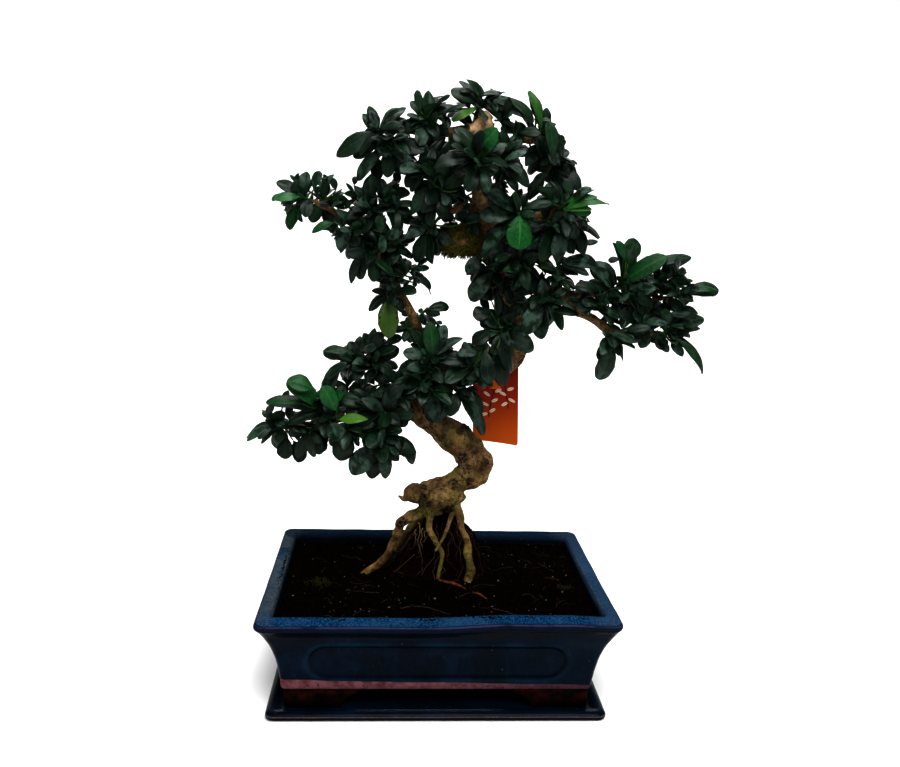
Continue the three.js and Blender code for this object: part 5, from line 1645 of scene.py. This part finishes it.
# Leaves of the crown's outline and front: root and tip in pixels, half width, fresh, warm.
FRONT = [
    [(492, 349), (504, 386), 7.5, 0, 0], [(486, 350), (489, 384), 6.5, 0, 0],
    [(497, 348), (512, 372), 6, 0, 0],
    [(300, 197), (273, 200), 6, 0.85, 0], [(299, 205), (288, 229), 4, 0.3, 0],
    [(565, 209), (597, 195), 5.5, 0.9, 0],
    [(566, 210), (610, 203), 3, 0.8, 0.1], [(566, 211), (592, 209), 3, 0.75, 0.1],
    [(313, 190), (320, 171), 3.6, 0.1, 0],
    [(483, 99), (529, 112), 4.6, 0.2, 0], [(500, 95), (535, 121), 4.2, 0.15, 0],
    [(541, 134), (528, 91), 3.6, 0.75, 0.1],
    [(552, 163), (548, 121), 5, 0.25, 0], [(553, 160), (566, 149), 4, 0.25, 0],
    [(521, 142), (517, 122), 6, 0, 0],
    [(535, 131), (519, 136), 3.6, 0, 0], [(548, 160), (535, 133), 6.4, 0, 0],
    [(503, 162), (527, 151), 4.2, 0.1, 0],
    [(508, 163), (529, 187), 5.6, 0, 0], [(481, 165), (505, 146), 5, 0, 0],
    [(490, 161), (507, 173), 4, 0, 0],
    [(545, 176), (529, 200), 6, 0, 0], [(500, 180), (492, 207), 5.5, 0, 0],
    [(521, 210), (552, 203), 4, 0.1, 0],
    [(490, 109), (508, 127), 4, 0.1, 0], [(421, 112), (417, 90), 3, 0.2, 0],
    [(436, 104), (450, 95), 2.6, 0, 0],
    [(384, 119), (406, 107), 2.6, 0, 0], [(474, 126), (455, 111), 6, 0, 0],
    [(442, 116), (466, 105), 2.6, 0.1, 0],
    [(568, 221), (600, 238), 2.6, 0, 0], [(568, 222), (585, 255), 6.8, 0, 0],
    [(560, 228), (535, 258), 7, 0.15, 0.08],
    [(560, 228), (557, 263), 6, 0, 0], [(500, 235), (482, 257), 3, 0, 0],
    [(626, 262), (617, 241), 3.6, 0.5, 0],
    [(628, 264), (634, 238), 6.8, 0.2, 0], [(645, 268), (691, 257), 5, 0.15, 0],
    [(640, 266), (668, 257), 6, 0.4, 0],
    [(612, 290), (590, 268), 6.6, 0, 0], [(600, 291), (575, 286), 6, 0, 0],
    [(663, 290), (693, 280), 4.2, 0.1, 0],
    [(680, 292), (718, 290), 3.2, 0.4, 0], [(665, 315), (700, 318), 4, 0, 0],
    [(668, 326), (698, 328), 4, 0.1, 0],
    [(640, 326), (618, 312), 5.5, 0, 0], [(650, 332), (640, 348), 5, 0.1, 0],
    [(656, 332), (662, 350), 5, 0, 0],
    [(676, 337), (704, 374), 4.6, 0.25, 0], [(335, 222), (312, 233), 3.6, 0.5, 0],
    [(352, 228), (338, 250), 5.4, 0, 0],
    [(362, 250), (350, 284), 3.6, 0, 0], [(369, 255), (358, 279), 6, 0, 0],
    [(482, 254), (467, 274), 5.5, 0, 0],
    [(492, 302), (477, 284), 6.6, 0, 0], [(491, 312), (473, 316), 6.6, 0, 0],
    [(490, 330), (472, 345), 7, 0, 0],
    [(480, 352), (458, 353), 5, 0, 0], [(415, 272), (431, 289), 3, 0, 0],
    [(315, 389), (287, 380), 7.4, 0.7, 0],
    [(337, 412), (323, 386), 6.6, 0.85, 0], [(322, 383), (346, 362), 4.8, 0.05, 0],
    [(303, 404), (267, 403), 2.2, 0.5, 0],
    [(322, 413), (290, 424), 3.2, 0.5, 0], [(272, 424), (246, 441), 3.8, 0.3, 0],
    [(288, 437), (284, 459), 6.6, 0, 0],
    [(293, 440), (302, 462), 7, 0, 0], [(316, 420), (315, 453), 4.6, 0, 0],
    [(348, 430), (340, 461), 8.4, 0, 0],
    [(330, 421), (339, 441), 7.4, 0.1, 0], [(378, 443), (352, 475), 8.6, 0, 0],
    [(378, 447), (371, 479), 6, 0, 0],
    [(380, 446), (386, 479), 5.6, 0, 0], [(383, 446), (416, 452), 6.6, 0, 0],
    [(386, 398), (358, 408), 8, 0, 0],
    [(404, 385), (388, 400), 6, 0, 0], [(357, 355), (324, 350), 4.2, 0.25, 0],
    [(368, 352), (375, 328), 4.2, 0.1, 0],
    [(369, 352), (385, 331), 4.2, 0, 0], [(373, 356), (396, 348), 5, 0.1, 0],
    [(338, 420), (368, 419), 5, 0.95, 0.35],
    [(352, 427), (368, 443), 2.6, 0.9, 0.25], [(440, 388), (443, 421), 6, 0, 0],
    [(436, 386), (432, 423), 8, 0, 0],
]


def inside(outline, point):
    """Whether a point lies in a closed outline."""
    odd = False
    for (ax, ay), (bx, by) in zip(outline, outline[1:] + outline[:1]):
        if (ay > point[1]) != (by > point[1]) and point[0] < (bx - ax) * (point[1] - ay) / (by - ay) + ax:
            odd = not odd
    return odd


def fits_crown(verts):
    """Whether a leaf shows inside the photograph's crown, apart from its first third."""
    for point in verts[len(verts) // 3::9]:
        seen = pixel(point)
        if not inside(CROWN, seen) or any(inside(gap, seen) for gap in GAPS):
            return False
        if point[1] < 12 and any(inside(spot, seen) for spot in BARE):
            return False
    return True


def face_of(line, axis, roll):
    """The CAD's way for a leaf's upper face."""
    face = np.array([0, 0.45 if line["end"][1] > OPEN_SIDE_FROM else -0.45, 0.9])
    face = face + 0.5 * unit(line["end"] - line["foot"])
    face = unit(face - axis * face.dot(axis))
    return np.array(Matrix.Rotation(roll, 3, Vector(axis)) @ Vector(face))


def leaf_try(line, row, index, attempt, numbers):
    """The CAD's try at one leaf: its root, tip and upper face."""
    _, _, by_rule, length, tips = row
    total = by_rule + len(tips)
    draws = [next(numbers) - 0.5 for _ in range(4)]
    back = LEAF_START / line["length"] + index / total * LEAFY_PART
    root = line["end"] + (line["foot"] - line["end"]) * back
    if index < len(tips):
        drift = attempt * DRIFT
        tip = line["end"] + tips[index] + np.array([draws[0] * drift, draws[1] * drift * 2,
                                                    draws[2] * drift])
    else:
        axis = unit(line["end"] - line["foot"])
        turn = index * GOLDEN_TURN + draws[0] * (0.5 + attempt * 0.8)
        tilt = 0.65 + 0.95 * (index + 1) / total + draws[1] * (0.3 + attempt * 0.15)
        tip = root + spoke(axis, turn,
                           tilt) * length * (1 + draws[2] * LENGTH_SPREAD) * (1 - attempt * 0.04)
    return root, tip, face_of(line, unit(tip - root), draws[3] * ROLL_SPREAD)


def spoke(axis, turn, tilt):
    """A way that leans from an axis by tilt, turned about it."""
    side = unit(np.cross(axis, (0.36, 0.48, 0.8)))
    other = np.cross(axis, side)
    return axis * math.cos(tilt) + (side * math.cos(turn) + other * math.sin(turn)) * math.sin(tilt)


def leaf_form(rng, calm=1.0):
    return {
        "camber": rng.uniform(-0.32, 0.05) * calm, "fold": rng.uniform(-0.05, 0.32) * calm,
        "twist": rng.uniform(-0.6, 0.6) * calm, "curl": rng.uniform(-0.05, 0.36) * calm,
        "wave": rng.uniform(0, 0.1) * calm, "phase": rng.uniform(0, 6.3),
        "arch": BLADE_ARCH * rng.uniform(0.8, 1.25),
        "point": rng.random() ** 2,
    }


def leaf_mesh(root, tip, face, half, form, stations, top):
    """A closed leaf: rings from its stalk to its tip, with data rows of [across, along, under]."""
    span = tip - root
    length = np.linalg.norm(span)
    axis = span / length
    side = np.cross(face, axis)
    a = np.array(top + UNDERSIDE)[None, :, None]
    under = np.array([0] * len(top) + [1] * len(UNDERSIDE))[None, :, None]
    s = stations[:, None, None]
    blade = np.interp(s, (0.08, 0.2), (0, 1))
    blunt, pointed = np.interp(s, OUTLINE_AT, BLUNT), np.interp(s, OUTLINE_AT, POINTED)
    outline = blunt * (1 - form["point"]) + pointed * form["point"]
    width = half * outline * (1 + 0.035 * np.sin(s * 23 + form["phase"] + a) * blade)
    thick = STALK_THICKNESS + (THICKNESS - STALK_THICKNESS) * blade
    turn = form["twist"] * (s - 0.3) * blade
    across = side * np.cos(turn) + face * np.sin(turn)
    up = face * np.cos(turn) - side * np.sin(turn)
    lift = length * (form["arch"] * 4 * s * (1 - s) - form["curl"] * np.maximum(0, s - 0.55) ** 2)
    bend = width * (form["camber"] * a * a + form["fold"] * np.abs(a)) * blade
    bend = bend + form["wave"] * half * a * np.abs(a) * np.sin(s * 9 + form["phase"]) * blade
    depth = -thick * (1 - a * a * 0.9) * under - 0.17 * blade * (a == 0) * (1 + 0.6 * under)
    rings = root + axis * s * length + face * lift + across * a * width + up * (bend + depth)
    data = np.concatenate(np.broadcast_arrays(a, s, under), axis=2)
    last = tip - face * length * form["curl"] * 0.2
    verts = np.concatenate([[root], rings.reshape(-1, 3), [last]])
    return verts, np.concatenate([[(0, 0, 0)], data.reshape(-1, 3), [(0, 1, 0)]])


def leaf_faces(count, ring):
    faces = []
    for k in range(ring):
        after = (k + 1) % ring
        faces.append((0, 1 + after, 1 + k))
        for i in range(count - 1):
            a = 1 + i * ring
            faces.append((a + k, a + after, a + ring + after, a + ring + k))
        a = 1 + (count - 1) * ring
        faces.append((a + k, a + after, a + ring))
    return faces


class Crowd:
    """Knows the leaves placed so far, so that a new one keeps clear of them."""

    def __init__(self):
        self.trees = []
        self.lows, self.highs = np.zeros((0, 3)), np.zeros((0, 3))
        self.leaves, self.stalks, self.taken = [], [], set()
        self.covered = np.zeros((IMAGE[1], IMAGE[0]), bool)
        self.kinds = {
            "fine": (FINE_STATIONS, FINE_ACROSS,
                     leaf_faces(len(FINE_STATIONS), len(FINE_ACROSS + UNDERSIDE))),
            "plain": (PLAIN_STATIONS, PLAIN_ACROSS,
                      leaf_faces(len(PLAIN_STATIONS), len(PLAIN_ACROSS + UNDERSIDE))),
        }

    def keep(self, verts, tree):
        self.trees.append(tree)
        self.lows = np.vstack([self.lows, verts.min(axis=0)])
        self.highs = np.vstack([self.highs, verts.max(axis=0)])

    def encloses(self, place):
        """Whether leaves show on all four sides of a spot in the picture."""
        x, y = int(place[0]), int(place[1])
        row, column = self.covered[y], self.covered[:, x]
        return all(side.any()
                   for side in (row[x - 20:x], row[x:x + 20], column[y - 20:y], column[y:y + 20]))

    def hits(self, verts, tree):
        close = np.all((self.lows < verts.max(axis=0)) & (self.highs > verts.min(axis=0)), axis=1)
        return any(self.trees[i].overlap(tree) for i in np.flatnonzero(close))

    def place(self, owner, leaf, form, kind="plain", tint=None, force=False, within=True):
        """Adds a leaf of [root, tip, face, half width] if it has room and shows inside the crown."""
        stations, top, faces = self.kinds[kind]
        verts, data = leaf_mesh(*leaf, form, stations, top)
        if within and not fits_crown(verts):
            return False
        foot = 2 * len(top) - 2
        blade = [face for face in faces if min(face) > 2 * foot]
        tree = bvhtree.BVHTree.FromPolygons(verts.tolist(), blade)
        if not force and self.hits(verts, tree):
            return False
        self.keep(verts, tree)
        self.cover(pixels(verts[1 + 3 * foot:]).astype(int))
        self.leaves.append((owner, verts, data, faces, tint))
        return True

    def cover(self, shown):
        """Marks the pixels round each place as covered."""
        for dx, dy in itertools.product((-1, 0, 1), repeat=2):
            column = np.clip(shown[:, 0] + dx, 0, IMAGE[0] - 1)
            self.covered[np.clip(shown[:, 1] + dy, 0, IMAGE[1] - 1), column] = True


def pixel(point):
    """Where a point in millimetres shows in the photograph."""
    seen = CAMERA_TURN.transposed() @ (Vector(point) * MM - Vector(CAMERA_PLACE))
    focal = LENS / SENSOR * IMAGE[0]
    return np.array([IMAGE[0] / 2 + focal * seen.x / -seen.z, IMAGE[1] / 2 - focal * seen.y / -seen.z])


def from_pixel(place, depth):
    """The point in millimetres that shows at a pixel and lies at y = depth."""
    focal = LENS / SENSOR * IMAGE[0]
    way = CAMERA_TURN @ Vector(((place[0] - IMAGE[0] / 2) / focal, (IMAGE[1] / 2 - place[1]) / focal, -1))
    reach = (depth * MM - CAMERA_PLACE[1]) / way.y
    return np.array((Vector(CAMERA_PLACE) + way * reach) / MM)


def cad_leaves(index, row, line):
    """The leaves that the CAD placed on one shoot: tries whose tip is a point of its mesh."""
    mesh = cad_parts[f"shoot_{index + 1:02d}"].data
    points = np.array([v.co for v in mesh.vertices]) / MM
    numbers = seeded(FIRST_SEED + index)
    found = []
    for i in range(row[2] + len(row[4])):
        for attempt in range(ATTEMPTS):
            root, tip, face = leaf_try(line, row, i, attempt, numbers)
            if np.linalg.norm(points - tip, axis=1).min() < 0.06:
                found.append((root, tip, face))
                break
    return found


def turned_open(root, tip, face):
    """The face, turned a little to the front where a leaf there would show its edge alone."""
    axis = unit(tip - root)
    front = np.array([0, -1, 0.15])
    front = front - axis * front.dot(axis)
    if root[1] < OPEN_SIDE_FROM and abs(face.dot(unit(front))) < 0.5:
        face = face + unit(front) * (0.75 if face.dot(front) >= 0 else -0.75)
    return unit(face - axis * face.dot(axis))


def tint_near(root, tip, rng, taken):
    """A leaf's [fresh, warm, random] and how much wider it is, from the photograph's light leaves."""
    middle = pixel(root + (tip - root) * 0.6)
    for x, y, fresh, warm, wider in TINTED:
        if root[1] < 20 and (x, y) not in taken and math.hypot(middle[0] - x, middle[1] - y) < 9:
            taken.add((x, y))
            return (fresh, warm, rng.random()), wider
    young = max(0.0, rng.gauss(0.04, 0.07))
    return (young, 0, rng.random()), 1


def place_cad_leaves(crowd, lines, rng):
    for index, (row, line) in enumerate(zip(SHOOTS, lines)):
        for root, tip, face in cad_leaves(index, row, line):
            length = np.linalg.norm(tip - root)
            tint, wider = tint_near(root, tip, rng, crowd.taken)
            half = min(max(length * BLADE_WIDTH, NARROWEST), WIDEST) / 2 * FULLER * wider
            face = turned_open(root, tip, face)
            for calm in (1.0, 0.7, 0.4, 0.15, 0.0):
                leaf = (root, tip, face, half * (0.85 + 0.15 * calm))
                if crowd.place(index, leaf, leaf_form(rng, calm), "fine", tint, calm == 0, False):
                    break


def place_front_leaves(crowd, lines, rng):
    """The photograph's outline leaves, each on a stalk from the nearest shoot."""
    spots = [(index, on_line(line, t)) for index,
             line in enumerate(lines) if line["end"][1] < OPEN_SIDE_FROM
             for t in (0.35, 0.5, 0.65, 0.8, 0.9, 1)]
    shown = np.array([pixel(point) for _, point in spots])
    for root_px, tip_px, half, fresh, warm in FRONT:
        nearest = int(np.argmin(np.linalg.norm(shown - root_px, axis=1)))
        owner, anchor = spots[nearest]
        for depth in (-3, -7, 2, -11, 6, -16):
            root = from_pixel(root_px, anchor[1] + depth)
            tip = from_pixel(tip_px, anchor[1] + depth - rng.uniform(-3, 6))
            axis = unit(tip - root)
            face = np.array([rng.uniform(-0.3, 0.3), -0.75, 0.75])
            face = unit(face - axis * face.dot(axis))
            tint = (fresh, warm, rng.random())
            if crowd.place(owner, (root, tip, face, half), leaf_form(rng, 0.9), "fine", tint, within=False):
                crowd.stalks.append((owner, anchor, root))
                break


def place_fan(crowd, owner, line, count, length, rng, span=0.9):
    """Leaves round the end of a twig by the golden angle, as many as find room."""
    axis = unit(line["end"] - line["foot"])
    placed = 0
    for index in range(count):
        for attempt in range(6):
            turn = index * GOLDEN_TURN + rng.uniform(-0.5, 0.5) * (1 + attempt)
            tilt = rng.uniform(0.2, 1.75)
            size = rng.choice((0.45, 0.65, 0.8, 0.95, 1.0)) * (1 - attempt * 0.07)
            root = line["end"] + (line["foot"] - line["end"]) * (0.04 + rng.random() * span)
            tip = root + spoke(axis, turn, tilt) * length * size
            half = max(length * size * rng.uniform(0.23, 0.29), 2)
            face = turned_open(root, tip, face_of(line, unit(tip - root), rng.uniform(-0.6, 0.6)))
            young = max(0.0, rng.gauss(0.04, 0.07)) + 0.2 * (size < 0.5)
            tint = (young, 0, rng.random())
            if crowd.place(owner, (root, tip, face, half), leaf_form(rng), tint=tint):
                placed += 1
                break
    return placed


def place_sprigs(crowd, lines, rng):
    """More leaves at each shoot's end, and side sprigs that fork from its twig."""
    for index, (row, line) in enumerate(zip(SHOOTS, lines)):
        place_fan(crowd, index, line, EXTRA_LEAVES, row[3], rng)
    for index, (row, line) in enumerate(zip(SHOOTS, lines)):
        for sprig in range(SPRIGS):
            foot = on_line(line, rng.uniform(0.35, 0.92))
            way = spoke(unit(line["end"] - line["foot"]), sprig * 2.1 + rng.uniform(-0.6, 0.6),
                        rng.uniform(0.7, 1.5))
            end = foot + way * rng.uniform(9, 17)
            branch = {"foot": foot, "end": end}
            if inside(CROWN, pixel(end)) and not any(inside(gap, pixel(end)) for gap in GAPS):
                if place_fan(crowd, index, branch, SPRIG_LEAVES, row[3] * 0.92, rng, 0.5):
                    crowd.stalks.append((index, foot, end))


def place_spurs(crowd, rng):
    """Short leafy spurs all along the limbs and the upper trunk, in one group for each limb."""
    groups = {"trunk": TRUNK[14:], **LIMBS}
    for number, rows in enumerate(groups.values()):
        route = spline(rows, 120)
        along = np.concatenate([[0], np.cumsum(np.linalg.norm(np.diff(route[:, :3], axis=0), axis=1))])
        place = SPUR_SPACING
        turn = rng.uniform(0, 6)
        while place < along[-1]:
            at = int(np.searchsorted(along, place))
            axis = unit(route[min(at + 1, 120), :3] - route[max(at - 1, 0), :3])
            way = spoke(axis, turn, rng.uniform(0.9, 1.4))
            foot = route[at, :3] + way * (route[at, 3] - 0.5)
            branch = {"foot": foot, "end": foot + way * rng.uniform(6, 11)}
            owner = f"spurs_{number}"
            if inside(CROWN, pixel(branch["end"])):
                if place_fan(crowd, owner, branch, SPUR_LEAVES, rng.uniform(17, 22), rng, 0.4):
                    crowd.stalks.append((owner, foot, branch["end"]))
            place += SPUR_SPACING * rng.uniform(0.6, 1.1)
            turn += GOLDEN_TURN


def place_fill(crowd, lines, rng, grid, lengths):
    """Leaves, most of them deeper in the crown, where the photograph shows none of the light behind it."""
    spots = [(index, on_line(line, t)) for index, line in enumerate(lines) for t in (0.5, 0.7, 0.85, 1)]
    shown = np.array([pixel(point) for _, point in spots])
    places = list(itertools.product(range(*CROWN_COLUMNS, grid), range(*CROWN_ROWS, grid)))
    rng.shuffle(places)
    for x, y in places:
        place = np.array([x + rng.uniform(-2, 2), y + rng.uniform(-2, 2)])
        if crowd.covered[int(place[1]) - 1:int(place[1]) + 2, int(place[0]) - 1:int(place[0]) + 2].any():
            continue
        if not crowd.encloses(place) or any(inside(gap, place) for gap in GAPS + BARE):
            continue
        near_by = np.linalg.norm(shown - place, axis=1)
        owner, anchor = spots[int(np.argmin(near_by + np.array([rng.uniform(0, 12) for _ in spots])))]
        fill_at(crowd, owner, anchor, place, rng, lengths)


def fill_at(crowd, owner, anchor, place, rng, lengths):
    """Tries leaves over one open spot, deeper and smaller each time, until one touches nothing."""
    straight = unit(pixel(anchor) - place)
    for attempt in range(FILL_TRIES):
        turn = rng.uniform(-0.5, 0.5) - 0.06 * attempt * (-1) ** attempt
        toward = np.array([straight[0] * math.cos(turn) - straight[1] * math.sin(turn),
                           straight[0] * math.sin(turn) + straight[1] * math.cos(turn)])
        depth = anchor[1] + rng.uniform(-6, 6) + attempt * 1.6 * rng.choice((1, 1, -0.5))
        long = rng.uniform(*lengths) * (1 - 0.018 * attempt)
        root = from_pixel(place + toward * long * 0.6, depth)
        tip = from_pixel(place - toward * long * 0.4, depth + rng.uniform(-5, 5))
        axis = unit(tip - root)
        face = np.array([rng.uniform(-0.5, 0.5), -0.8, rng.uniform(0.2, 0.9)])
        face = unit(face - axis * face.dot(axis))
        tint = (max(0.0, rng.gauss(0.03, 0.06)), 0, rng.random())
        half = long * rng.uniform(0.2, 0.25)
        if crowd.place(owner, (root, tip, face, half), leaf_form(rng, 0.8), tint=tint):
            crowd.stalks.append((owner, anchor, root))
            return


def make_leaves(lines, wood_points, wood_faces):
    crowd = Crowd()
    wood_tree = bvhtree.BVHTree.FromPolygons(wood_points.tolist(), wood_faces)
    crowd.keep(wood_points, wood_tree)
    rng = random.Random(19)
    place_cad_leaves(crowd, lines, rng)
    place_front_leaves(crowd, lines, rng)
    place_sprigs(crowd, lines, rng)
    place_spurs(crowd, rng)
    for grid, lengths in (6, (19, 27)), (4, (13, 18)):
        place_fill(crowd, lines, rng, grid, lengths)
    return crowd


STALK_RADIUS = 0.8
STALK_STEPS = 5


def stalk_rows(start, end):
    """A slim green stalk with a slight bow."""
    bow = np.array([0, 0, -0.07]) * np.linalg.norm(end - start)
    rows = []
    for step in range(STALK_STEPS + 1):
        t = step / STALK_STEPS
        rows.append([*(start + (end - start) * t + bow * 4 * t * (1 - t)), STALK_RADIUS * (1 - 0.35 * t)])
    return np.array(rows)


def twig(line, index):
    """The green twig at the end of a side shoot, which its leaves grow from."""
    axis = unit(line["end"] - line["foot"])
    rows = []
    for step in range(13):
        t = step / 12
        point = line["foot"] + (line["end"] - line["foot"]) * t - axis * 0.6 * (1 - t)
        rows.append([*point, TWIG_RADIUS * (1 - 0.25 * t) * (1 + 0.12 * (step % 3 == 0))])
    rows.append([*(line["end"] + axis * 1.3), 0.45])
    return tube(np.array(rows), 8, 0.15, 0.5, index)


def make_shoots(lines, crowd):
    paint = leaf_paint()
    groups = {}
    for index, line in enumerate(lines):
        groups[index] = Heap("leaf", "tint")
        groups[index].add(*twig(line, index), leaf=(1, 0.5, 0.6), tint=(0.35, 0.2, 0.5))
    for owner, start, end in crowd.stalks:
        heap = groups.setdefault(owner, Heap("leaf", "tint"))
        heap.add(*tube(stalk_rows(start, end), 5, 0.1, 0.5, 3), leaf=(1, 0.5, 0.6), tint=(0.3, 0.2, 0.4))
    for owner, verts, data, faces, tint in crowd.leaves:
        groups.setdefault(owner, Heap("leaf", "tint")).add(verts, faces, leaf=data, tint=tint)
    for owner, heap in groups.items():
        node = f"shoot_{owner + 1:02d}" if isinstance(owner, int) else ""
        heap.piece(f"leafy_{node or owner}", paint, "leaf", [node] if node else [])


# Label


# The label's width, height, thickness, x, y, upper edge and bend.
LABEL = (37, 66, 0.8, 45, 37, 240, 1.6)
# The strap's middle, radius, width and thickness.
STRAP = (43, 21.5, 239, 15.9, 8, 1)
LABEL_TURN = math.radians(13)
# How far the label leans to the side on its way down, and how much its edges slope.
LABEL_SKEW = (0.038, 0.06)


def label_plate():
    width, height, thick, cx, cy, top, bend = LABEL
    nx, nz = 25, 41
    ease = (width / 2 - 1.2) / (width / 2)
    grid, verts, data = {}, [], []
    for layer in (0, 1):
        for i in range(nx):
            for j in range(nz):
                u, v = i / (nx - 1), j / (nz - 1)
                x = (u - 0.5) * width * (ease if j in (0, nz - 1) else 1)
                bulge = bend * (1 - (2 * u - 1) ** 2) + 0.5 * math.sin(v * 4.2 + u)
                grid[layer, i, j] = len(verts)
                x += LABEL_SKEW[0] * (1 - v) * height
                drop = LABEL_SKEW[1] * (u - 0.5) * width
                verts.append((cx + x, cy + bulge - thick * (1 - layer), top - height + v * height - drop))
                data.append((u, v, layer))
    faces = []
    for i in range(nx - 1):
        for j in range(nz - 1):
            faces.append(tuple(grid[0, a, b] for a, b in ((i, j), (i + 1, j), (i + 1, j + 1), (i, j + 1))))
            faces.append(tuple(grid[1, a, b] for a, b in ((i, j), (i, j + 1), (i + 1, j + 1), (i + 1, j))))
    rim = [(i, 0) for i in range(nx)] + [(nx - 1, j) for j in range(1, nz)]
    rim += [(i, nz - 1) for i in range(nx - 2, -1, -1)] + [(0, j) for j in range(nz - 2, 0, -1)]
    for a, b in zip(rim, rim[1:] + rim[:1]):
        faces.append((grid[(0, *b)], grid[(0, *a)], grid[(1, *a)], grid[(1, *b)]))
    return verts, faces, data


def label_strap():
    """The strap's closed band round the trunk."""
    x, y, z, radius, wide, thick = STRAP
    half, soft = wide / 2, 0.15
    section = [(-half, soft), (-half + 2 * soft, 0), (half - 2 * soft, 0), (half, soft),
               (half, thick - soft), (half - 2 * soft, thick), (-half + 2 * soft, thick),
               (-half, thick - soft)]
    verts, faces = [], []
    around, ring = 72, len(section)
    for k in range(around):
        angle = 2 * math.pi * k / around
        for across, out in section:
            reach = radius + out
            verts.append((x + across, y + reach * math.cos(angle), z + reach * math.sin(angle)))
        a, b = k * ring, (k + 1) % around * ring
        faces += [(a + s, a + (s + 1) % ring, b + (s + 1) % ring, b + s) for s in range(ring)]
    return verts, faces


def make_label():
    heap = Heap("label")
    verts, faces, data = label_plate()
    turn = np.array(Matrix.Rotation(-LABEL_TURN, 3, "Z"))
    hinge = np.array([STRAP[0], LABEL[4], 0])
    heap.add((np.array(verts) - hinge) @ turn.T + hinge, faces, label=data)
    heap.add(*label_strap(), label=(0.5, 0.02, 1))
    heap.piece("plant_label", label_paint(), "label", ["label"], smooth=False)


# Camera, light and floor


# The photograph's deep shadows.
PHOTO_GAMMA = 0.74
CAMERA_PLACE = (-0.0356, -0.6672, 0.3652)
LENS = 35.756
YAW, PITCH, ROLL = (math.radians(angle) for angle in (3.61, 11.45, 1.93))


def camera_turn():
    forward = Vector((math.sin(YAW) * math.cos(PITCH), math.cos(YAW) * math.cos(PITCH), -math.sin(PITCH)))
    right = Vector((math.cos(YAW), -math.sin(YAW), 0))
    up = right.cross(forward)
    turned = right * math.cos(ROLL) + up * math.sin(ROLL)
    raised = up * math.cos(ROLL) - right * math.sin(ROLL)
    return Matrix((turned, raised, -forward)).transposed()


CAMERA_TURN = camera_turn()


def add_camera():
    data = bpy.data.cameras.new("photo_camera")
    data.lens, data.sensor_width, data.sensor_fit = LENS, SENSOR, "HORIZONTAL"
    data.clip_start = 0.01
    camera = bpy.data.objects.new("photo_camera", data)
    camera.matrix_world = Matrix.Translation(CAMERA_PLACE) @ CAMERA_TURN.to_4x4()
    bpy.context.collection.objects.link(camera)
    bpy.context.scene.camera = camera


def add_light(name, place, aim, size, power):
    data = bpy.data.lights.new(name, "AREA")
    data.shape, data.size, data.energy = "DISK", size, power
    light = bpy.data.objects.new(name, data)
    light.location = place
    light.rotation_euler = (Vector(aim) - Vector(place)).to_track_quat("-Z", "Y").to_euler()
    bpy.context.collection.objects.link(light)


# Each light's name, place, aim, size and power.
LIGHTS = [
    ("soft_key", (0.25, -0.95, 1.6), (0, 0, 0.25), 1.2, 40),
    ("soft_side", (-1.3, -1.2, 1.1), (0, 0, 0.2), 1.4, 8),
    ("soft_backdrop", (0, 0.7, 2.6), (0, 2.2, 0.4), 1.6, 60),
]
FLOOR_END = 1.2


def add_floor():
    """A pale floor that bends up into a backdrop."""
    profile = [(-4, 0), (FLOOR_END, 0)]
    for step in range(1, 17):
        angle = math.pi / 2 * step / 16
        profile.append((FLOOR_END + math.sin(angle), 1 - math.cos(angle)))
    profile.append((FLOOR_END + 1, 4))
    verts = [(x, y, z - 0.0003) for y, z in profile for x in (-5, 5)]
    faces = [(2 * i, 2 * i + 1, 2 * i + 3, 2 * i + 2) for i in range(len(profile) - 1)]
    mesh = bpy.data.meshes.new("floor")
    mesh.from_pydata(verts, [], faces)
    mesh.polygons.foreach_set("use_smooth", [True] * len(faces))
    mesh.materials.append(Shade("floor_pale").finish((0.88, 0.88, 0.88, 1), 0.9, Specular_IOR_Level=0.1))
    floor = bpy.data.objects.new("floor", mesh)
    bpy.context.collection.objects.link(floor)


def add_studio():
    """Soft lights, an even sky and the photograph's deep shadows."""
    for light in LIGHTS:
        add_light(*light)
    world = bpy.data.worlds.new("studio")
    world.use_nodes = True
    sky = world.node_tree.nodes["Background"].inputs
    sky["Color"].default_value = (1, 1, 1, 1)
    sky["Strength"].default_value = 0.38
    bpy.context.scene.world = world
    bpy.context.scene.view_settings.view_transform = "Standard"
    bpy.context.scene.view_settings.gamma = PHOTO_GAMMA
    add_floor()


add_camera()
add_studio()
make_saucer()
make_pot()
make_soil()
make_litter()
lines = [shoot_line(row[0], row[1]) for row in SHOOTS]
wood, bark, wood_points = make_wood()
make_shoot_wood(lines, bark)
make_burl_moss()
wood_faces = [tuple(face.vertices) for face in wood.data.polygons]
crowd = make_leaves(lines, wood_points, wood_faces)
make_shoots(lines, crowd)
make_label()
